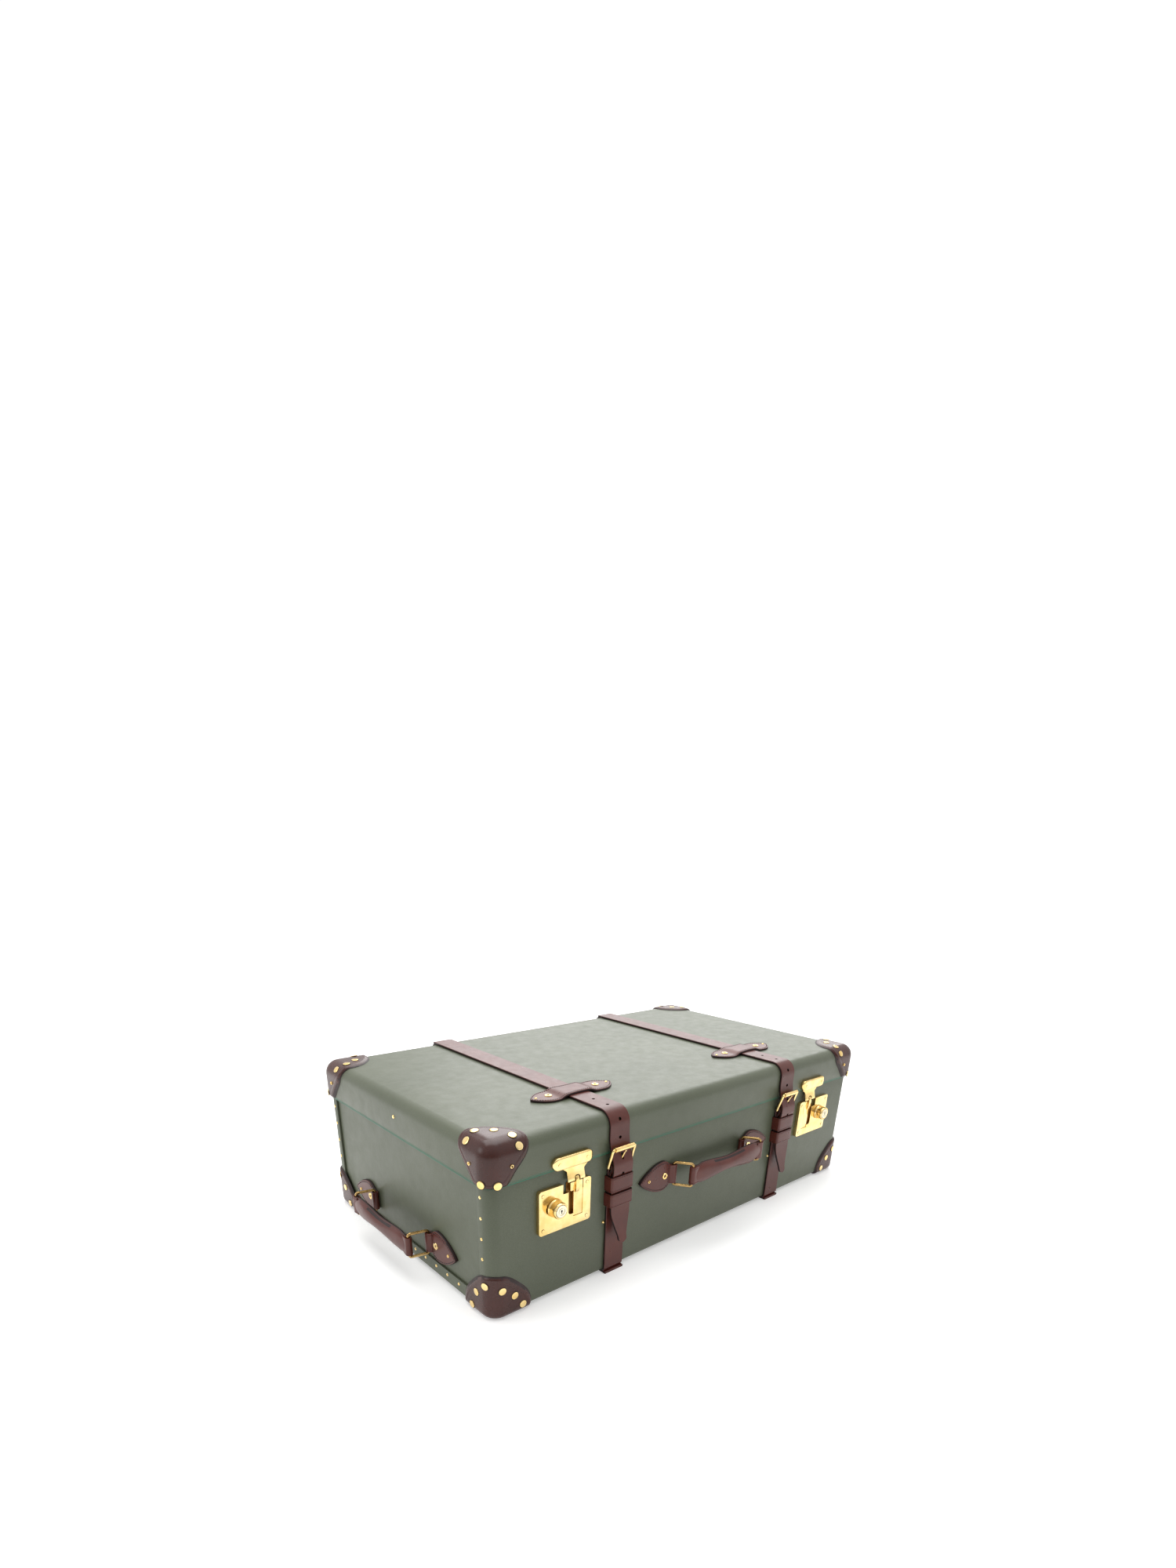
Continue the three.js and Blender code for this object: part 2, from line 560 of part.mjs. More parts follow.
function grip(lean) {
  const barY = -GAP - HANDLE.wrap - HANDLE.reach;
  const side = [];
  const face = [];
  for (let k = 0; k <= 16; k += 1) {
    const u = -1 + k / 8;
    const swell = Math.cos((Math.PI / 2) * u) ** 0.8;
    side.push([u * HANDLE.fold, HANDLE.wrap + (HANDLE.gripThick - HANDLE.wrap) * swell]);
    face.push([u * (HANDLE.fold + 6), gripHalfHeight(u * (1 + 6 / HANDLE.fold))]);
  }
  const mirrored = (points) => [...points, ...points.map(([u, v]) => [u, -v]).reverse()];
  const thick = polygon(mirrored(side).map(([u, v]) => [u, barY + v]));
  const ends = SIDES.map((end) => circle(end.sign * HANDLE.fold, barY, HANDLE.wrap));
  const bores = SIDES.map((end) => circle(end.sign * HANDLE.fold, barY, HANDLE.bore));
  const through = (shape) => pulledSolid(shape, 'xy', -20, 20);
  const core = ends.reduce((all, end) => all.add(through(end)), through(thick));
  const trimmed = core.intersect(pulledSolid(polygon(mirrored(face)), 'xz', barY - 20, barY + 20));
  return bores
    .reduce((all, bore) => all.subtract(through(bore)), trimmed)
    .translate([HANDLE.reach * Math.sin(lean), HANDLE.reach * (1 - Math.cos(lean)), 0]);
}

function addHandle(handle, placing) {
  const place = (geometry) => geometry.applyMatrix4(placing);
  const lean = THREE.MathUtils.degToRad(handle.lean);
  for (const side of SIDES) {
    addMesh(`${handle.name}_handle_chape_${side.name}`, place(geometryOf(chape(side.sign))), HIDE);
    addMesh(`${handle.name}_handle_ring_${side.name}`, place(ring(side.sign, lean)), OLD_BRASS);
  }
  addMesh(`${handle.name}_handle_grip`, place(geometryOf(grip(lean))), HIDE);
}

function addHandles() {
  const front = new THREE.Matrix4().makeTranslation(FRONT_HANDLE.along, FRONT, FRONT_HANDLE.height);
  const panel = -BASE.halfX + BASE_WALL + GAP;
  const end = new THREE.Matrix4().makeTranslation(panel, END_HANDLE.along, END_HANDLE.height);
  addHandle(FRONT_HANDLE, front);
  addHandle(END_HANDLE, end.multiply(new THREE.Matrix4().makeRotationZ(-Math.PI / 2)));
}

// Locks: plate, spring lever and knob on the base, catch on the lid

const PLATE_BACK = FRONT - GAP;
const PLATE_FRONT = PLATE_BACK - LOCK.thickness;
const PIN_Y = PLATE_BACK - 1.2 - LEVER.eye;

function throughPlate(s, inner, outer, low, high) {
  return block(s * inner, s * outer, PLATE_FRONT - 1, PLATE_BACK + 1, low, high);
}

function lockPlate(s) {
  const plate = roundedRect(s * LOCK.inner, LOCK.low, s * LOCK.outer, LOCK.high, 4);
  const room = KNOB.stem + 0.4;
  const nearX = s * (KNOB.x - room);
  const farX = s * (KNOB.x + KNOB.travel + room);
  const knobHole = roundedRect(nearX, KNOB.z - room, farX, KNOB.z + room, room);
  const pinBore = circle(PIN_Y, LEVER.pinZ, LEVER.pin + GAP);
  const leverLow = LEVER.pinZ - LEVER.eye - GAP;
  return pulledSolid(plate, 'xz', PLATE_FRONT, PLATE_BACK)
    .subtract(pulledSolid(knobHole, 'xz', PLATE_FRONT - 1, PLATE_BACK + 1))
    .subtract(throughPlate(s, NOTCH.inner, NOTCH.outer, NOTCH.low, LOCK.high + 1))
    .subtract(throughPlate(s, LEVER.inner - GAP, LEVER.outer + GAP, leverLow, NOTCH.low + 1))
    .subtract(throughPlate(s, LEVER.outer, SLOT.outer, SLOT.low, NOTCH.low + 1))
    .subtract(pulledSolid(pinBore, 'yz', s * (LEVER.inner - 3.3), s * (LEVER.outer + 3.3)));
}

function lockLever(s) {
  const front = PIN_Y - LEVER.eye;
  const back = PIN_Y + LEVER.eye;
  const tip = polygon([
    [back, FINGER.low + 4], [front, FINGER.low], [front - FINGER.proud, FINGER.low + 6],
    [front - FINGER.proud, FINGER.high - 4], [front - 1, FINGER.high], [back, FINGER.high],
  ]);
  const panel = block(s * LEVER.inner, s * LEVER.outer, front, back, LEVER.pinZ, LEVER.headLow + 1);
  const head = block(s * LEVER.inner, s * LEVER.headOuter, front, back, LEVER.headLow, LEVER.headHigh);
  const barrel = pulledSolid(circle(PIN_Y, LEVER.pinZ, LEVER.eye), 'yz', s * LEVER.inner, s * LEVER.outer);
  const pinLine = circle(PIN_Y, LEVER.pinZ, LEVER.pin);
  const pin = pulledSolid(pinLine, 'yz', s * (LEVER.inner - 3), s * (LEVER.outer + 3));
  return panel.add(head).add(pulledSolid(tip, 'yz', s * FINGER.inner, s * FINGER.outer)).add(barrel).add(pin);
}

function lathed(profile, x, z) {
  const geometry = new THREE.LatheGeometry(profile.map(([r, out]) => new THREE.Vector2(r, out)), 16);
  return geometry.rotateX(Math.PI).translate(x, FRONT, z);
}

const KNOB_SEAT = GAP + LOCK.thickness + GAP;

function lockKnob(s) {
  const { stem, flange, body, face, bore, length } = KNOB;
  const profile = [
    [0, 0.5], [stem, 0.5], [stem, KNOB_SEAT], [flange, KNOB_SEAT], [flange, KNOB_SEAT + 1.8],
    [body, KNOB_SEAT + 2.6], [body, KNOB_SEAT + length - 2.4], [face, KNOB_SEAT + length],
    [bore, KNOB_SEAT + length], [bore, KNOB_SEAT + 1.4], [0, KNOB_SEAT + 1.4],
  ];
  return solidOf(lathed(profile, s * KNOB.x, KNOB.z));
}

function keyPlug(s) {
  const x = s * KNOB.x;
  const low = KNOB_SEAT + 1.7;
  const high = KNOB_SEAT + KNOB.length + 0.4;
  const { radius } = PLUG;
  const profile = [[0, low], [radius, low], [radius, high - 0.4], [radius - 0.5, high], [0, high]];
  const face = FRONT - high;
  const keyhole = block(x - PLUG.keyHalf, x + PLUG.keyHalf, face - 1, face + 4, KNOB.z - 3.6, KNOB.z + 1)
    .add(pulledSolid(circle(x, KNOB.z + 1.2, PLUG.keyEye), 'xz', face - 1, face + 4));
  return solidOf(lathed(profile, x, KNOB.z)).subtract(keyhole);
}

function catchOutline(s) {
  const { centre, half, low, height, neckIn, neckOut, neckLow, fillet } = CATCH;
  const bar = roundedRect(s * (centre - half), low, s * (centre + half), low + height, 7.5);
  const neck = new THREE.Shape();
  neck.moveTo(s * (neckIn - fillet), low + 2);
  neck.lineTo(s * (neckIn - fillet), low);
  neck.quadraticCurveTo(s * neckIn, low, s * neckIn, low - fillet);
  neck.lineTo(s * neckIn, neckLow);
  neck.lineTo(s * neckOut, neckLow);
  neck.lineTo(s * neckOut, low - fillet);
  neck.quadraticCurveTo(s * neckOut, low, s * (neckOut + fillet), low);
  neck.lineTo(s * (neckOut + fillet), low + 2);
  const pull = (shape) => pulledSolid(shape, 'xz', LID_FRONT - 12, LID_FRONT);
  return pull(bar).add(pull(neck));
}

// A crowned bar, a hollow below it, and a neck that swells forward to a rolled lip
function catchSection() {
  const { low, height, neckLow } = CATCH;
  const back = LID_FRONT - GAP;
  const section = new THREE.Shape();
  section.moveTo(back, low + height);
  section.lineTo(back - 1.2, low + height);
  section.quadraticCurveTo(back - 5.8, low + height - 1.5, back - 6, low + height / 2);
  section.quadraticCurveTo(back - 5.8, low + 2.5, back - 3.4, low);
  section.quadraticCurveTo(back - 2.4, low - 3, back - 3.2, low - 8);
  section.lineTo(back - 5.6, neckLow + 3.2);
  section.lineTo(back - 6, neckLow + 1.2);
  section.lineTo(back - 5, neckLow);
  section.lineTo(back - 2.6, neckLow);
  section.lineTo(back, low - 7);
  return section;
}

function catchPlate(s) {
  const { centre, half, neckLow, forkIn, forkOut, forkHigh } = CATCH;
  const section = pulledSolid(catchSection(), 'yz', s * (centre - half), s * (centre + half));
  const fork = block(s * forkIn, s * forkOut, LID_FRONT - 12, LID_FRONT, neckLow - 1, forkHigh);
  return catchOutline(s).intersect(section).subtract(fork);
}

function addLock(side) {
  addSolid(`lock_plate_${side.name}`, lockPlate(side.sign), BRASS);
  addSolid(`lock_lever_${side.name}`, lockLever(side.sign), BRASS);
  addSolid(`lock_knob_${side.name}`, lockKnob(side.sign), BRASS);
  addSolid(`lock_key_plug_${side.name}`, keyPlug(side.sign), NICKEL);
  addSolid(`lock_catch_${side.name}`, catchPlate(side.sign), BRASS);
}

addSolid('base_body', baseBody(), FIBRE);
addSolid('base_lining', baseLining(), LINING_CLOTH);
addSolid('lid_shell', lidShell(), FIBRE);
addSolid('lid_lining', lidLining(), LINING_CLOTH);
for (const side of SIDES) {
  addSolid(`end_panel_${side.name}`, endPanel(side), FIBRE);
  addHinge(side);
  addBelt(side);
  addLock(side);
}
addCornerCaps();
addHandles();

// The origin is under the middle of the whole trunk, on the surface it stands on
const middle = new THREE.Box3().setFromObject(trunk).getCenter(new THREE.Vector3());
trunk.position.set(-middle.x, -middle.y, 0);

export default trunk;
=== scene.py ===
"""Visual model of the footlocker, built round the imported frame. Lengths are in millimetres from the middle
of the shell and from the floor, and become metres when a mesh is made."""
import math

import bmesh
import bpy
from mathutils import Matrix, Vector


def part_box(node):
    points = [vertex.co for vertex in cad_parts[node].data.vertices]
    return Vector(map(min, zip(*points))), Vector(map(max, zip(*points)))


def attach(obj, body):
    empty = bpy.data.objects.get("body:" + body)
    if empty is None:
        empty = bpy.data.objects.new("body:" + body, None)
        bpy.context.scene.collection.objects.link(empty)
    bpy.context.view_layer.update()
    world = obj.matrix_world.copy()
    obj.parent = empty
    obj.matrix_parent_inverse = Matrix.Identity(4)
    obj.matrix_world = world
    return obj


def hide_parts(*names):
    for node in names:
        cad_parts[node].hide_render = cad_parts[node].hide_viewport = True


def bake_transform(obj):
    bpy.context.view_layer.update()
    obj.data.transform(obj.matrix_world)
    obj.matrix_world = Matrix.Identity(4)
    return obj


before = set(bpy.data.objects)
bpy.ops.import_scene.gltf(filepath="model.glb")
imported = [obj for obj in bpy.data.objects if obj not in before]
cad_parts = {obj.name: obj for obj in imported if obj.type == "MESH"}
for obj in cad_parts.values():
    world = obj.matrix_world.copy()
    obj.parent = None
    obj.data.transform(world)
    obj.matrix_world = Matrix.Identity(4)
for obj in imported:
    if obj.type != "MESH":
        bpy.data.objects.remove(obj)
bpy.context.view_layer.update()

MM = 0.001
lid_low, lid_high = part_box("lid_shell")
ORIGIN = Vector(((lid_low.x + lid_high.x) / 2, (lid_low.y + lid_high.y) / 2, 0))


def extent(node):
    """A node's lowest and highest corners, in millimetres from the middle of the shell."""
    low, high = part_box(node)
    return (low - ORIGIN) / MM, (high - ORIGIN) / MM


def metres(point):
    return ORIGIN + Vector(point) * MM


LID_X, LID_Y = extent("lid_shell")[1].x, extent("lid_shell")[1].y
BASE_X, BASE_Y = extent("base_body")[1].x, extent("base_body")[1].y
FLOOR, RIM = extent("base_body")[0].z, extent("base_body")[1].z
LID_RIM, TOP = extent("lid_shell")[0].z, extent("lid_shell")[1].z
GAP = 0.3
LEATHER = FLOOR - GAP
BASE_CORNER, BASE_EDGE, LID_ROUND = 16.8, 5.8, 17.0
BASE_WALL, LID_WALL, LINING = 2.7, 3.0, 2.2
LINING_RISE = 13.0
FLANGE = 24.0
BOTTOM_FLANGE = 21.0
FRONT, LID_FRONT = -BASE_Y, -LID_Y
SIDES = (("left", -1), ("right", 1))
ENDS = (("front", -1), ("rear", 1))
BELT_HALF = 16.8
BELT_X = extent("strap_lid_right")[0].x + BELT_HALF
HEEL_Y, HEEL_Z = FRONT - GAP - 5.45, 158.7
ROLLER_Y, ROLLER_Z = -228.4, 186.2
GUIDE_Y, GUIDE_SHIFT = -121.0, 3.0
FOLD, REACH, WRAP = 77.0, 27.0, 4.8
BAR_OUT = GAP + WRAP
HINGE_Y = 220.0
KNOB_X, KNOB_Z = 288.0, 131.2
LOCK_PLATE = 5.5
END_WALL = BASE_X - BASE_WALL - GAP


# Materials

PORES = 1100.0


def new_material(name, **settings):
    material = bpy.data.materials.new(name)
    material.use_nodes = True
    shader = material.node_tree.nodes["Principled BSDF"]
    for key, value in settings.items():
        shader.inputs[key.replace("_", " ")].default_value = value
    return material, material.node_tree, shader


def texture_node(tree, kind, scale, stretch=(1, 1, 1)):
    coords = tree.nodes.new("ShaderNodeTexCoord")
    mapping = tree.nodes.new("ShaderNodeMapping")
    mapping.inputs["Scale"].default_value = stretch
    texture = tree.nodes.new(kind)
    texture.inputs["Scale"].default_value = scale
    tree.links.new(coords.outputs["Object"], mapping.inputs["Vector"])
    tree.links.new(mapping.outputs["Vector"], texture.inputs["Vector"])
    return texture


def noise(tree, scale, detail=3.0, stretch=(1, 1, 1), roughness=0.5):
    texture = texture_node(tree, "ShaderNodeTexNoise", scale, stretch)
    texture.inputs["Detail"].default_value = detail
    texture.inputs["Roughness"].default_value = roughness
    return texture.outputs["Fac"]


def pore_cells(tree, scale):
    """Distance to the edge of small cells."""
    texture = texture_node(tree, "ShaderNodeTexVoronoi", scale)
    texture.feature = "DISTANCE_TO_EDGE"
    return texture.outputs["Distance"]


def ramp(tree, value, stops):
    node = tree.nodes.new("ShaderNodeValToRGB")
    elements = node.color_ramp.elements
    while len(elements) < len(stops):
        elements.new(0.5)
    for element, (place, colour) in zip(elements, stops):
        element.position = place
        element.color = (*colour, 1) if isinstance(colour, tuple) else (colour, colour, colour, 1)
    tree.links.new(value, node.inputs["Fac"])
    return node.outputs["Color"]


def mixed(tree, factor, a, b, mode="MIX"):
    node = tree.nodes.new("ShaderNodeMix")
    node.data_type = "RGBA"
    node.blend_type = mode
    for socket, value in ((node.inputs[0], factor), (node.inputs[6], a), (node.inputs[7], b)):
        if isinstance(value, bpy.types.NodeSocket):
            tree.links.new(value, socket)
        elif isinstance(value, tuple):
            socket.default_value = (*value, 1)
        else:
            socket.default_value = value
    return node.outputs[2]


def bumped(tree, shader, layers):
    """Stacks bump layers of (height, strength, distance in mm)."""
    normal = None
    for height, strength, distance in layers:
        bump = tree.nodes.new("ShaderNodeBump")
        bump.inputs["Strength"].default_value = strength
        bump.inputs["Distance"].default_value = distance * MM
        tree.links.new(height, bump.inputs["Height"])
        if normal is not None:
            tree.links.new(normal, bump.inputs["Normal"])
        normal = bump.outputs["Normal"]
    tree.links.new(normal, shader.inputs["Normal"])


def fibreboard(name, dark, light):
    """Painted vulcanised fibre: satin, with a fine pressed grain and slow colour drift."""
    material, tree, shader = new_material(name, Specular_IOR_Level=0.42)
    drift = ramp(tree, noise(tree, 5.0, 4.0), [(0.3, dark), (0.75, light)])
    speck = ramp(tree, noise(tree, 900.0, 3.0), [(0.3, 0.82), (0.7, 1.0)])
    tree.links.new(mixed(tree, 1.0, drift, speck, "MULTIPLY"), shader.inputs["Base Color"])
    sheen = ramp(tree, noise(tree, 60.0, 5.0, roughness=0.6), [(0.25, 0.36), (0.8, 0.5)])
    tree.links.new(sheen, shader.inputs["Roughness"])
    bumped(tree, shader, [
        (noise(tree, 360.0, 4.0, (0.4, 1, 0.4)), 0.42, 0.25),
        (noise(tree, 1500.0, 2.0), 0.18, 0.08),
        (noise(tree, 26.0, 2.0), 0.12, 0.8),
    ])
    return material


def leather(name, dark, light, gloss=(0.28, 0.42), grain=0.3):
    """Bridle leather: pore grain, worn tonal patches and a waxed sheen."""
    material, tree, shader = new_material(name, Specular_IOR_Level=0.36)
    patch = ramp(tree, noise(tree, 28.0, 5.0, roughness=0.6), [(0.3, dark), (0.72, light)])
    pores = ramp(tree, pore_cells(tree, PORES), [(0.0, 0.8), (0.12, 1.0)])
    tree.links.new(mixed(tree, 0.8, patch, pores, "MULTIPLY"), shader.inputs["Base Color"])
    sheen = ramp(tree, noise(tree, 90.0, 4.0), [(0.25, gloss[0]), (0.8, gloss[1])])
    tree.links.new(sheen, shader.inputs["Roughness"])
    bumped(tree, shader, [
        (pore_cells(tree, PORES), grain, 0.12),
        (noise(tree, 200.0, 4.0), 0.12, 0.07),
        (noise(tree, 2400.0, 2.0), 0.15, 0.05),
    ])
    return material


def metal(name, colour, worn, roughness=(0.12, 0.26), brushed=(1, 1, 1)):
    """Polished metal with fine polishing lines and a light tarnish in patches."""
    material, tree, shader = new_material(name, Metallic=1.0)
    patch = ramp(tree, noise(tree, 70.0, 4.0), [(0.35, worn), (0.65, colour)])
    tree.links.new(patch, shader.inputs["Base Color"])
    polish = ramp(tree, noise(tree, 220.0, 4.0, brushed), [(0.3, roughness[0]), (0.75, roughness[1])])
    tree.links.new(polish, shader.inputs["Roughness"])
    bumped(tree, shader, [(noise(tree, 500.0, 3.0, brushed), 0.05, 0.1)])
    return material


def cotton(name, dark, light):
    """Plain woven lining: two crossed yarn waves and a little fuzz."""
    material, tree, shader = new_material(name, Roughness=0.85, Sheen_Weight=0.25, Sheen_Roughness=0.5)
    coords = tree.nodes.new("ShaderNodeTexCoord")
    waves = []
    for direction in ("X", "Y", "Z"):
        wave = tree.nodes.new("ShaderNodeTexWave")
        wave.bands_direction = direction
        wave.inputs["Scale"].default_value = 260.0
        wave.inputs["Distortion"].default_value = 0.6
        tree.links.new(coords.outputs["Object"], wave.inputs["Vector"])
        waves.append(wave.outputs["Fac"])
    cross = mixed(tree, 0.5, waves[0], waves[1], "ADD")
    weave = mixed(tree, 0.5, cross, waves[2], "ADD")
    tint = mixed(tree, noise(tree, 40.0, 4.0), dark, light)
    tree.links.new(mixed(tree, 0.35, tint, weave, "MULTIPLY"), shader.inputs["Base Color"])
    bumped(tree, shader, [(weave, 0.35, 0.2), (noise(tree, 1800.0, 2.0), 0.2, 0.1)])
    return material


GREEN = fibreboard("fibreboard_green", (0.080, 0.092, 0.058), (0.102, 0.114, 0.074))
TEAL = fibreboard("fibreboard_cut_edge", (0.02, 0.12, 0.07), (0.035, 0.17, 0.10))
HIDE = leather("leather_oxblood", (0.072, 0.014, 0.009), (0.104, 0.024, 0.016), (0.26, 0.38))
CAP_HIDE = leather("leather_moulded", (0.040, 0.011, 0.008), (0.064, 0.018, 0.013), (0.22, 0.32), 0.2)
# Dark leather for the cut edges; rivet heads also use it as painted shade, round flat heads and inside hollow
# ones.
EDGE_AND_SHADE = leather("leather_cut_edge_and_shade", (0.014, 0.006, 0.006), (0.03, 0.011, 0.01), (0.4, 0.55), 0.2)
THREAD = cotton("linen_thread", (0.012, 0.004, 0.004), (0.03, 0.009, 0.008))
BRASS = metal("brass_polished", (0.92, 0.70, 0.34), (0.82, 0.58, 0.22))
OLD_BRASS = metal("brass_aged", (0.55, 0.37, 0.15), (0.33, 0.20, 0.07), (0.2, 0.36))
# Dark brass as painted shade, for the sheet in each lock's well.
SHADE_BRASS = metal("brass_in_shadow", (0.16, 0.08, 0.02), (0.10, 0.05, 0.015), (0.3, 0.5))
PALE = metal("nickel_face", (0.78, 0.73, 0.56), (0.66, 0.60, 0.44), (0.2, 0.34), (1, 1, 6))
CLOTH = cotton("lining_cotton", (0.42, 0.35, 0.23), (0.60, 0.52, 0.38))
DARK = fibreboard("shadow_gap", (0.006, 0.006, 0.005), (0.012, 0.012, 0.01))


# Mesh helpers

def mesh_object(name, points, faces, materials, face_material=None, smooth_angle=35):
    mesh = bpy.data.meshes.new(name)
    mesh.from_pydata([metres(p) for p in points], [], faces)
    work = bmesh.new()
    work.from_mesh(mesh)
    bmesh.ops.remove_doubles(work, verts=work.verts, dist=1e-7)
    bmesh.ops.dissolve_degenerate(work, edges=work.edges, dist=1e-7)
    bmesh.ops.recalc_face_normals(work, faces=work.faces)
    if face_material is None:
        work.to_mesh(mesh)
    work.free()
    for material in materials if isinstance(materials, (list, tuple)) else [materials]:
        mesh.materials.append(material)
    if face_material is not None:
        mesh.polygons.foreach_set("material_index", face_material)
    shade(mesh, smooth_angle)
    thing = bpy.data.objects.new(name, mesh)
    bpy.context.scene.collection.objects.link(thing)
    return thing


def shade(mesh, angle=35):
    mesh.polygons.foreach_set("use_smooth", [True] * len(mesh.polygons))
    mesh.set_sharp_from_angle(angle=math.radians(angle))
    mesh.update()


def finish_piece(thing, body, replaces=()):
    if replaces:
        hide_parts(*replaces)
    if body is not None:
        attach(thing, body)
    return thing


def merged(name, pieces):
    """Joins meshes into one object. Each keeps its own materials."""
    first = pieces[0]
    with bpy.context.temp_override(active_object=first, selected_editable_objects=pieces):
        bpy.ops.object.join()
    first.name = name
    return first


def applied(thing):
    bpy.context.view_layer.update()
    result = bpy.data.meshes.new_from_object(thing.evaluated_get(bpy.context.evaluated_depsgraph_get()))
    thing.modifiers.clear()
    thing.data = result
    return thing


def bevelled(thing, width, segments=2, angle=30):
    bevel = thing.modifiers.new("bevel", "BEVEL")
    bevel.width = width * MM
    bevel.segments = segments
    bevel.limit_method = "ANGLE"
    bevel.angle_limit = math.radians(angle)
    applied(thing)
    shade(thing.data, 40)
    return thing


def combined(a, b, operation):
    boolean = a.modifiers.new("boolean", "BOOLEAN")
    boolean.operation = operation
    boolean.solver = "EXACT"
    boolean.object = b
    applied(a)
    bpy.data.objects.remove(b)
    return a


def ring_faces(rings, closed_across=True, closed_along=False):
    count = len(rings[0])
    faces = []
    last = len(rings) if closed_along else len(rings) - 1
    for i in range(last):
        for j in range(count if closed_across else count - 1):
            a, b = i * count + j, i * count + (j + 1) % count
            c, d = ((i + 1) % len(rings)) * count + (j + 1) % count, ((i + 1) % len(rings)) * count + j
            faces.append((a, b, c, d))
    return faces


def loft(name, rings, materials, caps=True, closed_along=False, smooth_angle=35):
    points = [p for ring in rings for p in ring]
    faces = ring_faces(rings, True, closed_along)
    if caps and not closed_along:
        count = len(rings[0])
        faces.append(tuple(range(count)))
        faces.append(tuple(range(len(points) - count, len(points))))
    return mesh_object(name, points, faces, materials, smooth_angle=smooth_angle)


def arc_points(centre, radius, start, end, steps):
    points = []
    for k in range(steps + 1):
        angle = math.radians(start + (end - start) * k / steps)
        points.append((centre[0] + radius * math.cos(angle), centre[1] + radius * math.sin(angle)))
    return points


def rounded_rectangle(u0, v0, u1, v1, radius, steps=6):
    return (
        arc_points((u1 - radius, v0 + radius), radius, -90, 0, steps)
        + arc_points((u1 - radius, v1 - radius), radius, 0, 90, steps)
        + arc_points((u0 + radius, v1 - radius), radius, 90, 180, steps)
        + arc_points((u0 + radius, v0 + radius), radius, 180, 270, steps)
    )


PLANES = {"yz": lambda u, v, n: (n, u, v), "xz": lambda u, v, n: (u, n, v), "xy": lambda u, v, n: (u, v, n)}


def prism(name, outline, plane, low, high, material):
    place = PLANES[plane]
    rings = [[place(u, v, n) for u, v in outline] for n in (low, high)]
    return loft(name, rings, material)


def lathe(name, profile, base, axis, material, steps=48):
    """Turns (radius, height) about an axis that starts at base."""
    direction = Vector(axis).normalized()
    turn = Vector((0, 0, 1)).rotation_difference(direction).to_matrix()
    rings = []
    for k in range(steps):
        angle = 2 * math.pi * k / steps
        spoke = [Vector((r * math.cos(angle), r * math.sin(angle), h)) for r, h in profile]
        rings.append([Vector(base) + turn @ p for p in spoke])
    points = [p for ring in rings for p in ring]
    faces = ring_faces(rings, profile[0] == profile[-1], True)
    return mesh_object(name, points, faces, material)


def smooth_line(points, steps):
    """An even line through the given points, as a Catmull-Rom curve."""
    points = [Vector(p) for p in points]
    ends = [2 * points[0] - points[1], *points, 2 * points[-1] - points[-2]]
    line = []
    for i in range(1, len(ends) - 2):
        p0, p1, p2, p3 = ends[i - 1:i + 3]
        for k in range(steps):
            t = k / steps
            line.append(0.5 * (2 * p1 + (p2 - p0) * t + (2 * p0 - 5 * p1 + 4 * p2 - p3) * t ** 2
                               + (3 * p1 - p0 - 3 * p2 + p3) * t ** 3))
    line.append(points[-1])
    return line


def tangents(line, closed=False):
    result = []
    for i, _ in enumerate(line):
        before = line[i - 1] if closed or i else line[0]
        after = line[(i + 1) % len(line)] if closed or i < len(line) - 1 else line[-1]
        result.append((after - before).normalized())
    return result


def sweep(name, line, across, section, materials, closed=False, widths=None):
    """Sweeps a section of (across, outward) along a line. across is the fixed sideways direction."""
    across = Vector(across)
    rings = []
    for i, (point, tangent) in enumerate(zip(line, tangents(line, closed))):
        outward = tangent.cross(across).normalized()
        wide = widths[i] if widths else 1
        rings.append([point + across * (a * wide) + outward * b for a, b in section])
    return loft(name, rings, materials, closed_along=closed)


def strap_section(half, thick, crease=2.6, edge=0.9):
    """Flat leather: rounded edges, and a tooled crease near each edge on the face."""
    t = thick / 2
    dip = -half + crease
    face = [(-half + edge, t), (dip - 0.5, t), (dip, t - 0.4), (dip + 0.5, t)]
    middle = [(-half * 0.4, t + 0.08), (0, t + 0.12), (half * 0.4, t + 0.08)]
    mirrored = [(-a, b) for a, b in reversed(face)]
    corner = [(half - edge * 0.3, t - edge * 0.3), (half, t - edge), (half, -t + edge * 0.6),
              (half - edge * 0.6, -t)]
    other = [(-a, b) for a, b in reversed(corner)]
    return face + middle + mirrored + corner + [(0, -t)] + other


# Rounded shells as distance fields, for leather that is moulded over them

def box_distance(p, half_x, half_y, corner, edge, level):
    """Distance to a shell with upright corner radius and one rounded level edge. level is how far p is
    outside the closed top or bottom plane."""
    qx, qy = abs(p.x) - half_x + corner, abs(p.y) - half_y + corner
    plan = math.hypot(max(qx, 0), max(qy, 0)) + min(max(qx, qy), 0) - corner
    a, b = plan + edge, level + edge
    return math.hypot(max(a, 0), max(b, 0)) + min(max(a, b), 0) - edge


def lid_distance(p):
    return box_distance(p, LID_X, LID_Y, LID_ROUND, LID_ROUND - 0.01, p.z - TOP)


def base_distance(p):
    return box_distance(p, BASE_X, BASE_Y, BASE_CORNER, BASE_EDGE, FLOOR - p.z)


def gradient(distance, p, h=0.02):
    steps = (Vector((h, 0, 0)), Vector((0, h, 0)), Vector((0, 0, h)))
    return Vector([distance(p + s) - distance(p - s) for s in steps]).normalized()


def along_ray(distance, start, direction, offset):
    """Where a line that comes in from outside meets the surface at that offset."""
    low, high = 0.0, 130.0
    for _ in range(26):
        middle = (low + high) / 2
        if distance(start + direction * middle) > offset:
            low = middle
        else:
            high = middle
    return start + direction * high
